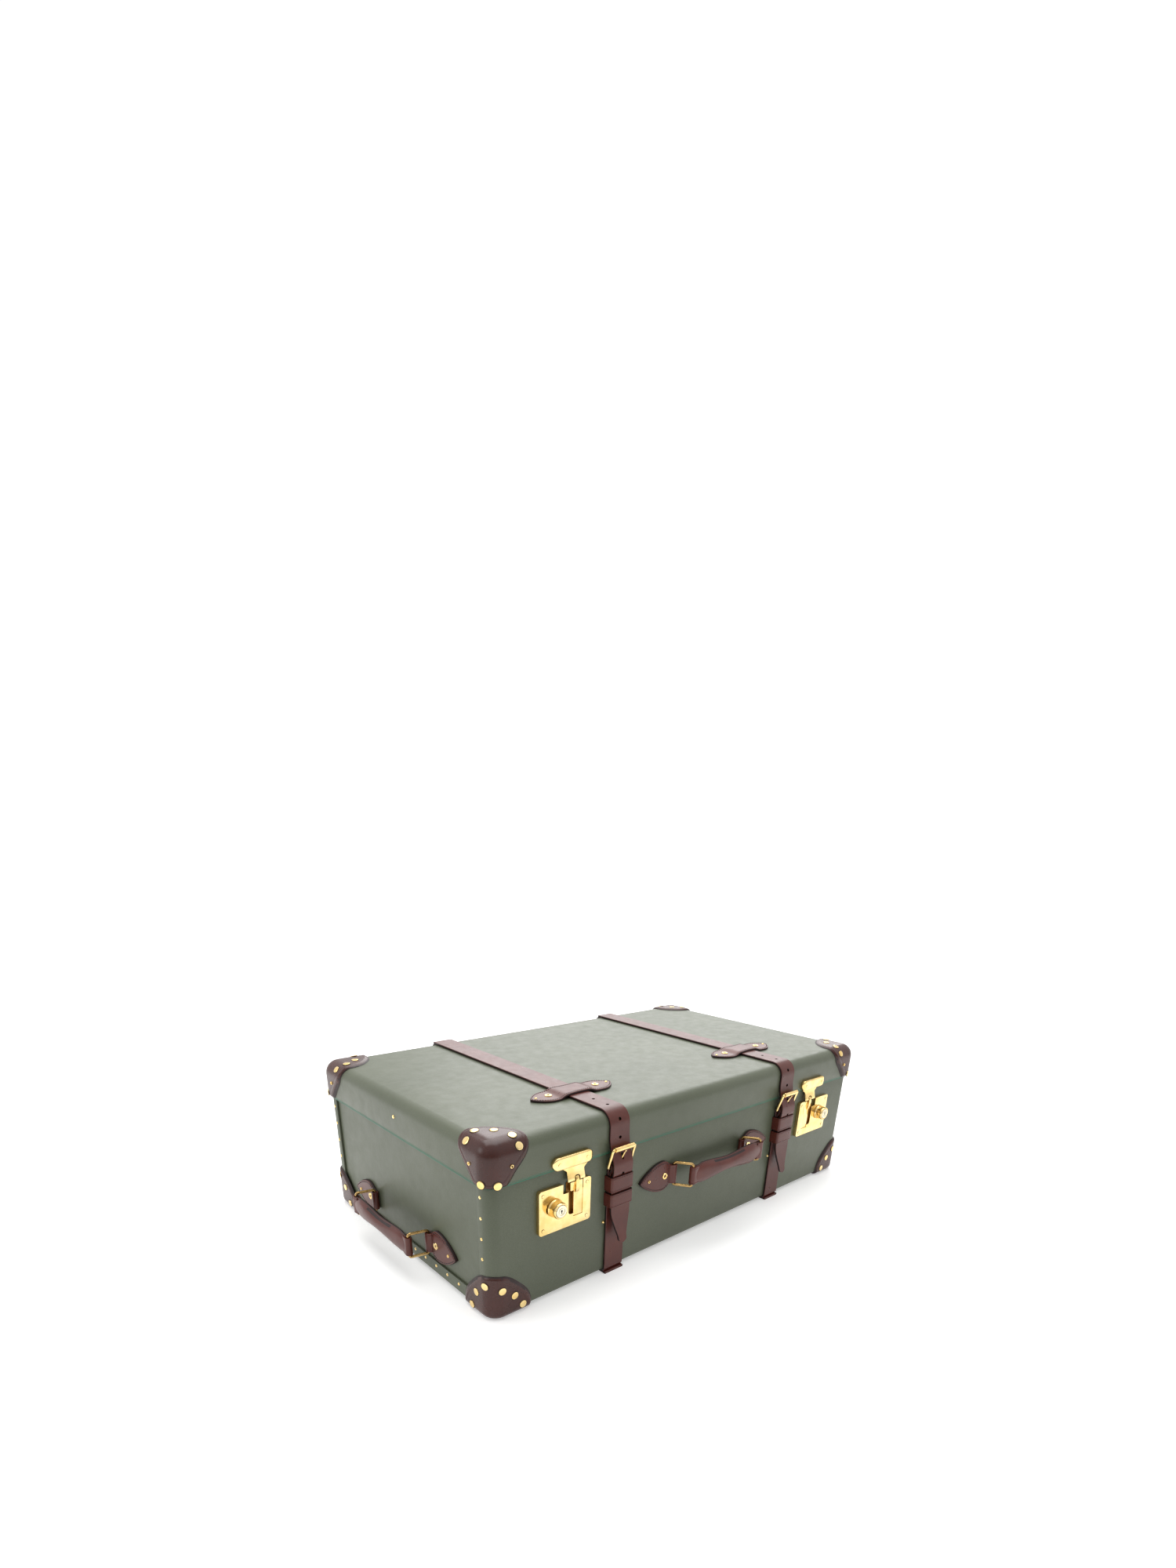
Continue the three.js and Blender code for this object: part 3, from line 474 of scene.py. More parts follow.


# Small fittings

# The flat head's wide foot only carries its ring of painted shadow.
RIVET_PROFILES = {
    "dome": ((1, -0.6), (1, 0.1), (0.96, 0.3), (0.86, 0.62), (0.68, 0.84), (0.4, 0.96), (0, 1)),
    "disc": ((1.16, -0.6), (1.16, 0.05), (1.0, 0.02), (0.98, 0.7), (0.9, 0.95), (0.55, 1), (0, 1)),
    "hollow": ((1, -0.6), (1, 0.25), (0.93, 0.8), (0.74, 1), (0.52, 0.85), (0.42, 0.1), (0, 0.1)),
}


def rivet(place, normal, radius, height=1.5, kind="dome"):
    """A rivet head: domed; flat, ringed with painted shadow where it would sit in a recess; or a hollow
    eyelet, its centre painted dark for the shade inside it.
    """
    profile = [(0, -0.6)] + [(radius * r, h if h < 0 else h * height) for r, h in RIVET_PROFILES[kind]]
    head = lathe("rivet", profile, place, normal, [BRASS, EDGE_AND_SHADE], 24)
    centre, axis = metres(place), Vector(normal).normalized()
    for face in head.data.polygons:
        span = face.center - centre
        reach = (span - axis * span.dot(axis)).length / (radius * MM)
        # Painted shade: the ring round a flat head and the centre of a hollow head take the dark leather.
        if kind == "disc" and reach > 1.0 or kind == "hollow" and reach < 0.45:
            face.material_index = 1
    return head


def rivets(name, spots, body):
    """spots is a list of (place, normal, radius, height, kind)."""
    heads = [rivet(*spot) for spot in spots]
    thing = merged(name, heads) if len(heads) > 1 else heads[0]
    thing.name = name
    return finish_piece(thing, body)


def stitches(name, line, normals, body, pitch=3.4, length=2.6, radius=0.55):
    """A row of saddle stitches: short thread beads, slightly slanted, along a line."""
    points, faces = [], []
    travelled, due = 0.0, pitch / 2
    for i in range(len(line) - 1):
        a, b = line[i], line[i + 1]
        span = (b - a).length
        while travelled + span >= due and span > 1e-6:
            t = (due - travelled) / span
            place = a.lerp(b, t)
            up = normals[i].lerp(normals[i + 1], t).normalized()
            forward = (b - a).normalized()
            side = up.cross(forward).normalized()
            forward = (forward + side * 0.22).normalized()
            side = up.cross(forward).normalized()
            add_bead(points, faces, place, forward, side, up, length / 2, radius)
            due += pitch
        travelled += span
    thing = mesh_object(name, points, faces, THREAD, smooth_angle=80)
    return finish_piece(thing, body)


def add_bead(points, faces, place, forward, side, up, half, radius):
    start = len(points)
    shape = [(-1, 0.12), (-0.72, 0.75), (0, 1), (0.72, 0.75), (1, 0.12)]
    for along, swell in shape:
        for k in range(6):
            angle = 2 * math.pi * k / 6
            round_part = side * math.cos(angle) + up * math.sin(angle)
            points.append(place + forward * (along * half) + round_part * (swell * radius))
    for i in range(len(shape) - 1):
        for k in range(6):
            a, b = start + i * 6 + k, start + i * 6 + (k + 1) % 6
            faces.append((a, b, b + 6, a + 6))
    faces.append(tuple(start + k for k in range(6)))
    faces.append(tuple(start + (len(shape) - 1) * 6 + k for k in range(6)))


# Case

def outline_ring(half_x, half_y, radius, z, steps=10):
    points = rounded_rectangle(-half_x, -half_y, half_x, half_y, max(radius, 0.3), steps)
    return [(x, y, z) for x, y in points]


def shell_rings(half_x, half_y, corner, edge, wall, open_z, closed_z, steps=8):
    """Rings of a tray, from the middle of its closed inside, over the open rim, to the closed outside."""
    sign = 1 if closed_z > open_z else -1
    rings = []

    def side(inset, outside):
        radius = edge - inset
        level = closed_z - sign * inset
        stations = [(inset, open_z)]
        for k in range(steps + 1):
            angle = (math.pi / 2) * k / steps
            drop = radius * (1 - math.sin(angle))
            stations.append((inset + radius * (1 - math.cos(angle)), level - sign * drop))
        stations.append((edge + 30, level))
        made = [outline_ring(half_x - i, half_y - i, corner - i, z) for i, z in stations]
        return made if outside else made[::-1]

    rings += side(wall, False)
    rings += side(0, True)
    return rings


def tray(name, material, half_x, half_y, corner, edge, wall, open_z, closed_z):
    rings = shell_rings(half_x, half_y, corner, edge, wall, open_z, closed_z)
    return bevelled(loft(name, rings, material, smooth_angle=30), 0.4, 2, 60)


def case_parts():
    lid = tray("lid_shell_skin", GREEN, LID_X, LID_Y, LID_ROUND, LID_ROUND - 0.5, LID_WALL, LID_RIM, TOP)
    finish_piece(lid, "lid", ["lid_shell"])
    inset = LID_WALL + GAP
    round_in = LID_ROUND - inset
    lining = tray("lid_lining_skin", CLOTH, LID_X - inset, LID_Y - inset, round_in, round_in - 0.5, LINING,
                  RIM + LINING_RISE, TOP - inset)
    finish_piece(lining, "lid", ["lid_lining"])
    low, high = extent("base_lining")
    lining = tray("base_lining_skin", CLOTH, high.x, high.y, 13, 3.5, LINING, high.z, low.z)
    finish_piece(lining, "base", ["base_lining"])

    base = tray("base_sheet", GREEN, BASE_X, BASE_Y, BASE_CORNER, BASE_EDGE, BASE_WALL, RIM, FLOOR)
    for _, sign in SIDES:
        ys = BASE_Y - FLANGE
        window = rounded_rectangle(-ys, FLOOR + BOTTOM_FLANGE, ys, RIM + 30, 1.5, 3)
        cutter = prism("window", window, "yz", sign * BASE_X - 12, sign * BASE_X + 12, GREEN)
        combined(base, cutter, "DIFFERENCE")
    bevelled(base, 0.45, 2, 50)
    finish_piece(base, "base", ["base_body"])
    for name, _ in SIDES:
        coat_node(f"end_panel_{name}", GREEN)


def coat_node(name, material):
    """A carried-over solid keeps its shape and takes a material."""
    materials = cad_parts[name].data.materials
    materials.clear()
    materials.append(material)


def lid_rim_band():
    """The lid's cut edge: a bright line at the rim under a fine dark score."""
    for name, z0, z1, out, material in (
        ("lid_rim_edge", LID_RIM - 0.05, LID_RIM + 1.1, 0.22, TEAL),
        ("lid_rim_score", LID_RIM + 2.3, LID_RIM + 3.0, 0.08, TEAL),
    ):
        stations = ((-0.6, z0), (out, z0), (out, z1 - 0.2), (out - 0.15, z1), (-0.6, z1))
        rings = [outline_ring(LID_X + o, LID_Y + o, LID_ROUND + o, z) for o, z in stations]
        finish_piece(loft(name, rings, material, closed_along=True), "lid")


def flange_rivets():
    """Small rivets down both flanges and along the bottom flange of each end."""
    for name, sign in SIDES:
        spots = []
        normal = Vector((sign, 0, 0))
        x = sign * (BASE_X + 0.02)
        for end in (-1, 1):
            for k in range(5):
                spots.append((Vector((x, end * (BASE_Y - 17), 55 + k * 27.3)), normal, 2.2, 1.1))
        for k in range(-5, 6):
            spots.append((Vector((x, k * 28.0, FLOOR + 14.6)), normal, 2.2, 1.1))
        rivets(f"flange_rivets_{name}", spots, "base")


# Leather corner caps

# Rivets as (along, across, radius): from the case's end or front, then from its top or its foot
LID_TOP_RIVETS = ((15.4, 46.4, 5), (33.8, 34.4, 5), (42.7, 10.8, 5))
LID_END_RIVETS = ((41.8, 3.8, 5), (29.6, 26.4, 2.5), (9.5, 46.2, 5))
LID_FRONT_RIVETS = ((43.5, 6.8, 5), (31, 27.7, 2.5), (11.9, 47.1, 5))
BASE_END_RIVETS = ((38.7, 5.3, 5), (27.5, 29, 5), (10, 44.7, 5))
BASE_FRONT_RIVETS = ((43.5, 7.8, 5), (31.4, 25, 5), (13.6, 38.1, 5))


def lid_cap_reach(a):
    return 55.6 - 4.0 * math.cos(a) + 3.7 * math.cos(2 * a) + 2.25 * math.cos(3 * a)


def base_cap_reach(a):
    return 53.75 + 2.1 * math.cos(3 * a)


def corner_cap(name, body, nodes, distance, reach_at, corner, signs, z_limit):
    """A moulded leather cap. Its edge lies at a lobed distance from the case's sharp corner."""
    sx, sy, sz = signs
    diagonal = Vector((sx, sy, sz)).normalized()
    lobe = (Vector((0, 0, -sz)) + diagonal * (diagonal.z * sz)).normalized()
    across = diagonal.cross(lobe)
    start = corner + diagonal * 20

    def surface(angle, radius, offset):
        aim = start + (lobe * math.cos(angle) + across * math.sin(angle)) * radius
        return along_ray(distance, aim, -diagonal, offset)

    def fits(p):
        return (p.z - z_limit) * sz > 0

    spokes, levels = 120, 15
    rings = []
    reach = []
    for k in range(spokes):
        angle = 2 * math.pi * k / spokes
        near, radius = 10.0, 75.0
        for _ in range(14):
            middle = (near + radius) / 2
            if (surface(angle, middle, GAP + LEATHER) - corner).length > reach_at(angle):
                radius = middle
            else:
                near = middle
        while not fits(surface(angle, radius, GAP)) and radius > 5:
            radius -= 0.25
        reach.append(radius)
    shares = [(k / levels) ** 0.9 for k in range(1, levels + 1)]
    crease_at, round_over = 3.4, 1.5
    for share in shares + [1 - 2.6 / 45, 1 - 3.4 / 45, 1 - 4.2 / 45, 1 - 1.0 / 45, 1 - 0.4 / 45]:
        ring = []
        for k in range(spokes):
            angle = 2 * math.pi * k / spokes
            inset = reach[k] * (1 - share)
            rounding = 1 - math.sqrt(max(1 - (1 - min(inset / round_over, 1)) ** 2, 0))
            groove = 0.35 * math.exp(-((inset - crease_at) / 0.55) ** 2)
            offset = GAP + LEATHER * (1 - 0.55 * rounding) - groove
            ring.append((share, surface(angle, reach[k] * share, offset)))
        rings.append(ring)
    rings.sort(key=lambda ring: ring[0][0])
    outer = [[p for _, p in ring] for ring in rings]
    inner = [
        [surface(2 * math.pi * k / spokes, reach[k] * share, GAP) for k in range(spokes)]
        for share in (1.0, 0.8, 0.55, 0.3, 0.1)
    ]
    everything = outer + inner
    points = [p for ring in everything for p in ring]
    faces = ring_faces(everything)
    faces.append(tuple(range(spokes)))
    faces.append(tuple(range(len(points) - spokes, len(points))))
    thing = mesh_object(name, points, faces, [CAP_HIDE, EDGE_AND_SHADE], smooth_angle=50)
    paint_edges(thing, distance, GAP + LEATHER * 0.62)
    return finish_piece(thing, body, nodes)


def paint_edges(thing, distance, limit):
    """The cut edge of a moulded piece is where its surface drops below the face."""
    for face in thing.data.polygons:
        middle = (face.center - ORIGIN) / MM
        if distance(middle) < limit:
            face.material_index = 1


def cap_rivets(name, body, distance, corner, signs, faces):
    """faces pairs the axis that each face looks along with its rivets."""
    heads = []
    for axis, spots in faces:
        for a, b, radius in spots:
            shift = {0: (0, a, b), 1: (a, 0, b), 2: (a, b, 0)}[axis]
            start = corner - Vector([sign * part for sign, part in zip(signs, shift)])
            outward = Vector([sign if k == axis else 0 for k, sign in enumerate(signs)])
            place = along_ray(distance, start + outward * 30, -outward, GAP + LEATHER)
            kind = ("disc", 0.9) if radius > 3 else ("hollow", 1.3)
            heads.append((place, gradient(distance, place), radius, kind[1], kind[0]))
    rivets(name, heads, body)


def corner_caps():
    for side, sx in SIDES:
        for end, sy in ENDS:
            place = f"{end}_{side}"
            corner, signs = Vector((sx * LID_X, sy * LID_Y, TOP)), (sx, sy, 1)
            corner_cap(f"lid_cap_{place}", "lid", [f"lid_corner_{place}"], lid_distance, lid_cap_reach,
                       corner, signs, LID_RIM + 0.3)
            cap_rivets(f"lid_cap_rivets_{place}", "lid", lid_distance, corner, signs,
                       ((0, LID_END_RIVETS), (1, LID_FRONT_RIVETS), (2, LID_TOP_RIVETS)))
            corner, signs = Vector((sx * BASE_X, sy * BASE_Y, FLOOR)), (sx, sy, -1)
            corner_cap(f"base_cap_{place}", "base", [f"base_corner_{place}"], base_distance, base_cap_reach,
                       corner, signs, RIM)
            cap_rivets(f"base_cap_rivets_{place}", "base", base_distance, corner, signs,
                       ((0, BASE_END_RIVETS), (1, BASE_FRONT_RIVETS)))


# Belts

def belt_back_line(x):
    """From under the guide, over the lid, down the back, under the base and up to the buckle's heel bar."""
    lift = GAP + LEATHER / 2
    flat = [(GUIDE_Y + 2, TOP + lift), (-40, TOP + lift), (60, TOP + lift), (LID_Y - LID_ROUND, TOP + lift)]
    bend = arc_points((LID_Y - LID_ROUND, TOP - LID_ROUND), LID_ROUND + lift, 90, 0, 10)
    step = [(LID_Y + lift, RIM + 12), (LID_Y + lift, RIM + 5), (BASE_Y + lift + 0.7, RIM - 4),
            (BASE_Y + lift, RIM - 12), (BASE_Y + lift, 60)]
    rear = arc_points((BASE_Y - BASE_EDGE, FLOOR + BASE_EDGE), BASE_EDGE + lift, 0, -90, 7)
    under = [(60, FLOOR - lift), (-60, FLOOR - lift)]
    front = arc_points((-BASE_Y + BASE_EDGE, FLOOR + BASE_EDGE), BASE_EDGE + lift, -90, -180, 7)
    up = [(FRONT - lift, 40), (FRONT - lift, 80), (FRONT - lift, 120), (FRONT - lift, 146)]
    loop = arc_points((HEEL_Y, HEEL_Z), 3.75, 0, 190, 10)
    down = [(FRONT - lift - LEATHER + 0.2, 147), (FRONT - lift - LEATHER + 0.1, 132),
            (FRONT - lift - LEATHER + 0.3, 117)]
    yz = flat + bend[1:] + step + rear + under + front + up + loop + down
    return [Vector((x, y, z)) for y, z in yz]


def belt_front_line(x):
    """From under the guide, over the front edge, through the buckle and the keepers to the tip."""
    lift = GAP + LEATHER / 2
    flat = [(GUIDE_Y - 2, TOP + lift), (-160, TOP + lift), (-LID_Y + LID_ROUND, TOP + lift)]
    bend = arc_points((-LID_Y + LID_ROUND, TOP - LID_ROUND), LID_ROUND + lift, 90, 180, 10)
    through = [(-LID_Y - lift, RIM + 26), (-LID_Y - lift - 0.6, RIM + 17), (-LID_Y - lift - 3.0, RIM + 6),
               (-LID_Y - 6.8, RIM - 1), (HEEL_Y - 6.9, HEEL_Z + 7), (HEEL_Y - 7.4, HEEL_Z),
               (HEEL_Y - 6.9, HEEL_Z - 7), (HEEL_Y - 4.9, 147), (HEEL_Y - 4.6, 138), (HEEL_Y - 4.6, 106),
               (HEEL_Y - 6.0, 88), (HEEL_Y - 9.4, 68), (HEEL_Y - 13.6, 51.5)]
    return [Vector((x, y, z)) for y, z in flat + bend[1:]], [Vector((x, y, z)) for y, z in through]


def resampled(line, pitch):
    points = [line[0]]
    spare = 0.0
    for a, b in zip(line, line[1:]):
        span = (b - a).length
        at = pitch - spare
        while at < span:
            points.append(a.lerp(b, at / span))
            at += pitch
        spare = span - (at - pitch)
    if (points[-1] - line[-1]).length < pitch * 0.4:
        points.pop()
    return points + [line[-1]]


def tip_width(remaining):
    """Share of the billet's width at this distance from its tip."""
    if remaining > 52:
        return 1.0
    if remaining > 7:
        return 0.41 + 0.59 * math.sin(math.pi / 2 * (remaining - 7) / 45) ** 1.3
    return 0.41 * math.sqrt(max(1 - (1 - remaining / 7) ** 2, 0.0)) + 0.02


def cut_edges(thing, axis, share=0.75):
    """Dark cut edges on the faces that look along an axis."""
    if len(thing.data.materials) == 1:
        thing.data.materials.append(EDGE_AND_SHADE)
    for face in thing.data.polygons:
        if abs(face.normal[axis]) > share:
            face.material_index = 1


def belt(side, sign):
    x = sign * BELT_X
    back_line = resampled(smooth_line(belt_back_line(x), 6), 2.4)
    back = sweep(f"belt_back_{side}", back_line, (1, 0, 0), strap_section(BELT_HALF, LEATHER), HIDE)
    slot_cut = prism("slot", rounded_rectangle(x - 3, HEEL_Z - 8, x + 3, HEEL_Z + 9, 2.5), "xz",
                     FRONT - 14, FRONT - 1.0, HIDE)
    combined(back, slot_cut, "DIFFERENCE")
    cut_edges(back, 0)
    shade(back.data, 40)
    finish_piece(back, None, [f"strap_base_{side}", f"strap_lid_{side}"])
    metres((x, HINGE_Y, RIM + 5))
    metres((x, HINGE_Y, RIM - 6))
    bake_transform(back)

    over, through = belt_front_line(x)
    line = resampled(over + smooth_line([over[-1]] + through, 6)[1:], 2.0)
    remaining = [0.0]
    for a, b in zip(reversed(line[:-1]), reversed(line[1:])):
        remaining.append(remaining[-1] + (a - b).length)
    widths = [tip_width(d) for d in reversed(remaining)]
    section = strap_section(BELT_HALF, LEATHER)
    front = sweep(f"belt_front_{side}", line, (-1, 0, 0), section, HIDE, widths=widths)
    holes = []
    for y in (-194.0, -167.0):
        holes.append(lathe("hole", [(0, -9), (2.3, -9), (2.3, 9), (0, 9)], (x, y, TOP), (0, 0, 1), HIDE, 16))
    for z in (221.7, 197.7, 150.7, 126.7):
        bore = [(0, -14), (2.3, -14), (2.3, 14), (0, 14)]
        holes.append(lathe("hole", bore, (x, FRONT - 12, z), (0, 1, 0), HIDE, 16))
    slot = rounded_rectangle(x - 2.1, HEEL_Z + 10.8, x + 2.1, HEEL_Z + 19.6, 2.0)
    holes.append(prism("slot", slot, "xz", FRONT - 26, FRONT + 1, HIDE))
    for hole in holes:
        combined(front, hole, "DIFFERENCE")
    cut_edges(front, 0)
    shade(front.data, 40)
    finish_piece(front, None, [f"strap_billet_{side}"])
    metres((x, LID_FRONT, RIM + 9))
    metres((x, LID_FRONT, RIM - 3))
    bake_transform(front)


def keeper(side, sign, place):
    low, high = extent(f"keeper_{place}_{side}")
    x = sign * BELT_X
    half = (high.z - low.z) / 2
    middle = (high.z + low.z) / 2
    thick = 2.0
    out, y0, y1 = BELT_HALF + 0.8 + thick / 2, FRONT - GAP, low.y + thick / 2
    bend = 2.2
    flat = [(x - out, y0), (x - out, (y0 + y1) / 2)]
    flat += arc_points((x - out + bend, y1 + bend), bend, 180, 270, 6)
    flat += [(x - 8, y1 - 0.15), (x + 8, y1 - 0.15)]
    flat += arc_points((x + out - bend, y1 + bend), bend, 270, 360, 6)
    flat += [(x + out, (y0 + y1) / 2), (x + out, y0)]
    line = [Vector((u, v, middle)) for u, v in flat]
    loop = sweep(f"keeper_loop_{place}_{side}", line, (0, 0, 1), strap_section(half, thick, 1.9, 0.6), HIDE)
    cut_edges(loop, 2)
    finish_piece(loop, "base", [f"keeper_{place}_{side}"])


def wire_loop(name, outline, place, radius, material):
    """A closed wire along a flat outline. place turns (u, v) into a point, and a section turns round it."""
    line = [place(u, v) for u, v in outline]
    rings = []
    plane_normal = (line[1] - line[0]).cross(line[len(line) // 3] - line[0]).normalized()
    for point, tangent in zip(line, tangents(line, True)):
        side = tangent.cross(plane_normal).normalized()
        ring = []
        for k in range(14):
            angle = 2 * math.pi * k / 14
            ring.append(point + side * (radius * math.cos(angle)) + plane_normal * (radius * math.sin(angle)))
        rings.append(ring)
    return loft(name, rings, material, closed_along=True, smooth_angle=60)


def spaced(outline, pitch):
    closed = outline + [outline[0]]
    line = resampled([Vector((u, v, 0)) for u, v in closed], pitch)
    return [(p.x, p.y) for p in line[:-1]]


def buckle(side, sign):
    x = sign * BELT_X
    heel, top = Vector((x, HEEL_Y, HEEL_Z)), Vector((x, ROLLER_Y, ROLLER_Z))
    up = (top - heel).normalized()
    length = (top - heel).length
    outline = spaced(rounded_rectangle(-19.4, 0, 19.4, length, 2.6, 6), 1.2)
    ring = wire_loop(f"buckle_wire_{side}", outline, lambda u, v: heel + Vector((u, 0, 0)) + up * v, 1.95,
                     BRASS)
    finish_piece(ring, f"buckle_{side}", [f"buckle_frame_{side}"])
    profile = [(2.2, 0), (3.1, 0), (3.4, 0.4), (3.4, 32.6), (3.1, 33), (2.2, 33), (2.2, 0)]
    roller = lathe(f"buckle_sleeve_{side}", profile, top - Vector((16.5, 0, 0)), (1, 0, 0), BRASS)
    finish_piece(roller, f"roller_{side}", [f"buckle_roller_{side}"])
    profile = [(2.15, -2.3), (3.7, -2.3), (3.9, -1.9), (3.9, 1.9), (3.7, 2.3), (2.15, 2.3), (2.15, -2.3)]
    eye = lathe("eye", profile, heel, (1, 0, 0), BRASS)
    lying = ((-0.6, 3.0), (-3.3, 9.5), (-6.4, 16), (-9.4, 21.6), (-11.5, 24.2))
    shank = smooth_line([heel + Vector((0, y, z)) for y, z in lying], 6)
    rings = []
    for i, (point, tangent) in enumerate(zip(shank, tangents(shank))):
        share = i / (len(shank) - 1)
        across = 2.1 - 0.9 * share
        thick = 1.5 - 0.6 * share
        outward = tangent.cross(Vector((1, 0, 0))).normalized()
        rings.append([point + Vector((across * math.cos(2 * math.pi * k / 12), 0, 0))
                      + outward * (thick * math.sin(2 * math.pi * k / 12)) for k in range(12)])
    prong = merged(f"buckle_tongue_{side}", [eye, loft("shank", rings, BRASS, smooth_angle=60)])
    finish_piece(prong, f"prong_{side}", [f"buckle_prong_{side}"])


# Guides and chapes: leaf-shaped leather, from a grid that follows the outline

SEAM_INSET = 3.0


def leaf_sheet(name, lengths, half_width, base_height, thickness, place, rows=18):
    """lengths are the stations along the leaf. place turns (along, across, height) into a point."""
    across = [math.sin(math.pi / 2 * (-1 + 2 * k / rows)) for k in range(rows + 1)]
    rings = []
    for u in lengths:
        w = max(half_width(u), 0.02)
        ring = []
        for v in across:
            inset = (1 - abs(v)) * w
            rounding = math.sqrt(max(1 - (1 - min(inset / 1.3, 1)) ** 2, 0))
            dip = 0.3 * math.exp(-((inset - SEAM_INSET) / 0.6) ** 2)
            crown = 0.35 * (1 - v * v)
            ring.append(place(u, v * w, base_height(u) + thickness * (0.45 + 0.55 * rounding) - dip + crown))
        for v in reversed(across):
            ring.append(place(u, v * w, base_height(u)))
        rings.append(ring)
    return loft(name, rings, [HIDE, EDGE_AND_SHADE], smooth_angle=50)


def dark_rim(thing, face_direction, limit=0.6):
    direction = Vector(face_direction)
    for face in thing.data.polygons:
        if abs(face.normal.dot(direction)) < limit:
            face.material_index = 1


def inset_outline(lengths, half_width, surface):
    """The closed line of a leaf's seam, at an even margin inside its outline."""
    upper, lower = [], []
    for u in lengths:
        w = half_width(u) - SEAM_INSET
        if w > 0.2:
            upper.append(surface(u, w))
            lower.append(surface(u, -w))
    return upper + lower[::-1] + [upper[0]]


def guide_half_width(u):
    reach = abs(u)
    if reach <= 41:
        return 16.5 + 3.3 * math.sin(math.pi / 2 * reach / 41) ** 2
    return 19.8 * max(math.cos(math.pi / 2 * (reach - 41) / 28.5), 0) ** 0.72


def eased(t):
    t = min(max(t, 0), 1)
    return t * t * (3 - 2 * t)


def guide(side, sign):
    x = sign * BELT_X
    ground = TOP + GAP

    def height(u):
        return ground + (LEATHER + GAP) * eased((34 - abs(u + GUIDE_SHIFT)) / 15)

    def place(u, v, h):
        return Vector((x + GUIDE_SHIFT + u, GUIDE_Y + v, h))

    stations = [-69.5 + 139 * (0.5 - 0.5 * math.cos(math.pi * k / 72)) for k in range(73)]
    leaf = leaf_sheet(f"guide_leather_{side}", stations, guide_half_width, height, 2.8, place)
    dark_rim(leaf, (0, 0, 1))
    finish_piece(leaf, "lid", [f"strap_guide_{side}"])
    line = inset_outline(stations, guide_half_width, lambda u, v: place(u, v, height(u) + 2.95))
    stitches(f"guide_stitching_{side}", line, [Vector((0, 0, 1))] * len(line), "lid")
    spots = []
    for u, radius in ((-41, 5.0), (41, 5.0), (-61.5, 2.0), (61.5, 2.0)):
        kind = "hollow" if radius > 3 else "dome"
        spots.append((place(u, 0, ground + 3.0), Vector((0, 0, 1)), radius, 1.3, kind))
    rivets(f"guide_rivets_{side}", spots, "lid")


def chape_half(u):
    past = (u - FOLD) / 65
    if past < 0.3:
        return 13.8 + 8.7 * math.sin(math.pi / 2 * max(past, 0) / 0.3) ** 2
    return 22.5 * max(math.cos(math.pi / 2 * (past - 0.3) / 0.7), 0) ** 0.8


def fold_over_bar(name, sign, bar_out, run, place, width=13.8, thick=2.3, tail=7.0):
    """Leather wrapped round a ring's bar. run is the side that the leather comes from and returns to."""
    radius = WRAP - thick / 2
    path = [(sign * (FOLD + run * tail), bar_out - (radius if run > 0 else 2.6)),
            (sign * (FOLD + run * 3), bar_out - radius)]
    for k in range(13):
        angle = math.radians(-90 - 180 * k / 12)
        path.append((sign * (FOLD + run * radius * math.cos(angle)), bar_out + radius * math.sin(angle)))
    path.append((sign * (FOLD + run * 3), bar_out + radius - 0.5))
    path.append((sign * (FOLD + run * tail), bar_out + (radius - 1.2 if run < 0 else -0.9)))
    line = [place(u, 0, h) for u, h in path]
    across = place(0, 1, 0) - place(0, 0, 0)
    return sweep(name, line, across, strap_section(width, thick, 2.2, 0.7), [HIDE, EDGE_AND_SHADE])


def grip_half_height(u):
    share = abs(u) / FOLD
    if share < 0.72:
        return 11.6 + 4.3 * math.sin(math.pi / 2 * share / 0.72) ** 2
    return 15.9 - 2.6 * eased((share - 0.72) / 0.22)


def grip_half_thickness(u):
    return 3.4 + 5.7 * max(math.cos(math.pi / 2 * min(abs(u) / FOLD, 1)), 0) ** 0.62


def handle_grip(name, place, bar):
    """A moulded grip: two crowned leather faces that meet in a stitched seam along both edges."""
    flange, seam = 3.2, 1.7
    rings = []
    count = 12
    limit = FOLD - 3
    for i in range(65):
        u = -limit + 2 * limit * i / 64
        h, t = grip_half_height(u), grip_half_thickness(u)
        profile = []
        for k in range(count + 1):
            z = -h + 2 * h * (0.5 - 0.5 * math.cos(math.pi * k / count))
            core = max(1 - (abs(z) / (h - flange * 0.6)) ** 2, 0) ** 0.62
            edge = math.sqrt(max(1 - (max(abs(z) - (h - 1.1), 0) / 1.1) ** 2, 0.0))
            profile.append((z, seam * edge * 0.9 + (t - seam) * core + 0.1))
        face = [place(u, z, bar + y) for z, y in profile]
        rings.append(face + [place(u, z, bar - y) for z, y in reversed(profile)])
    grip = loft(name, rings, [HIDE, EDGE_AND_SHADE], smooth_angle=60)
    cut_edges(grip, 2, 0.8)
    return grip


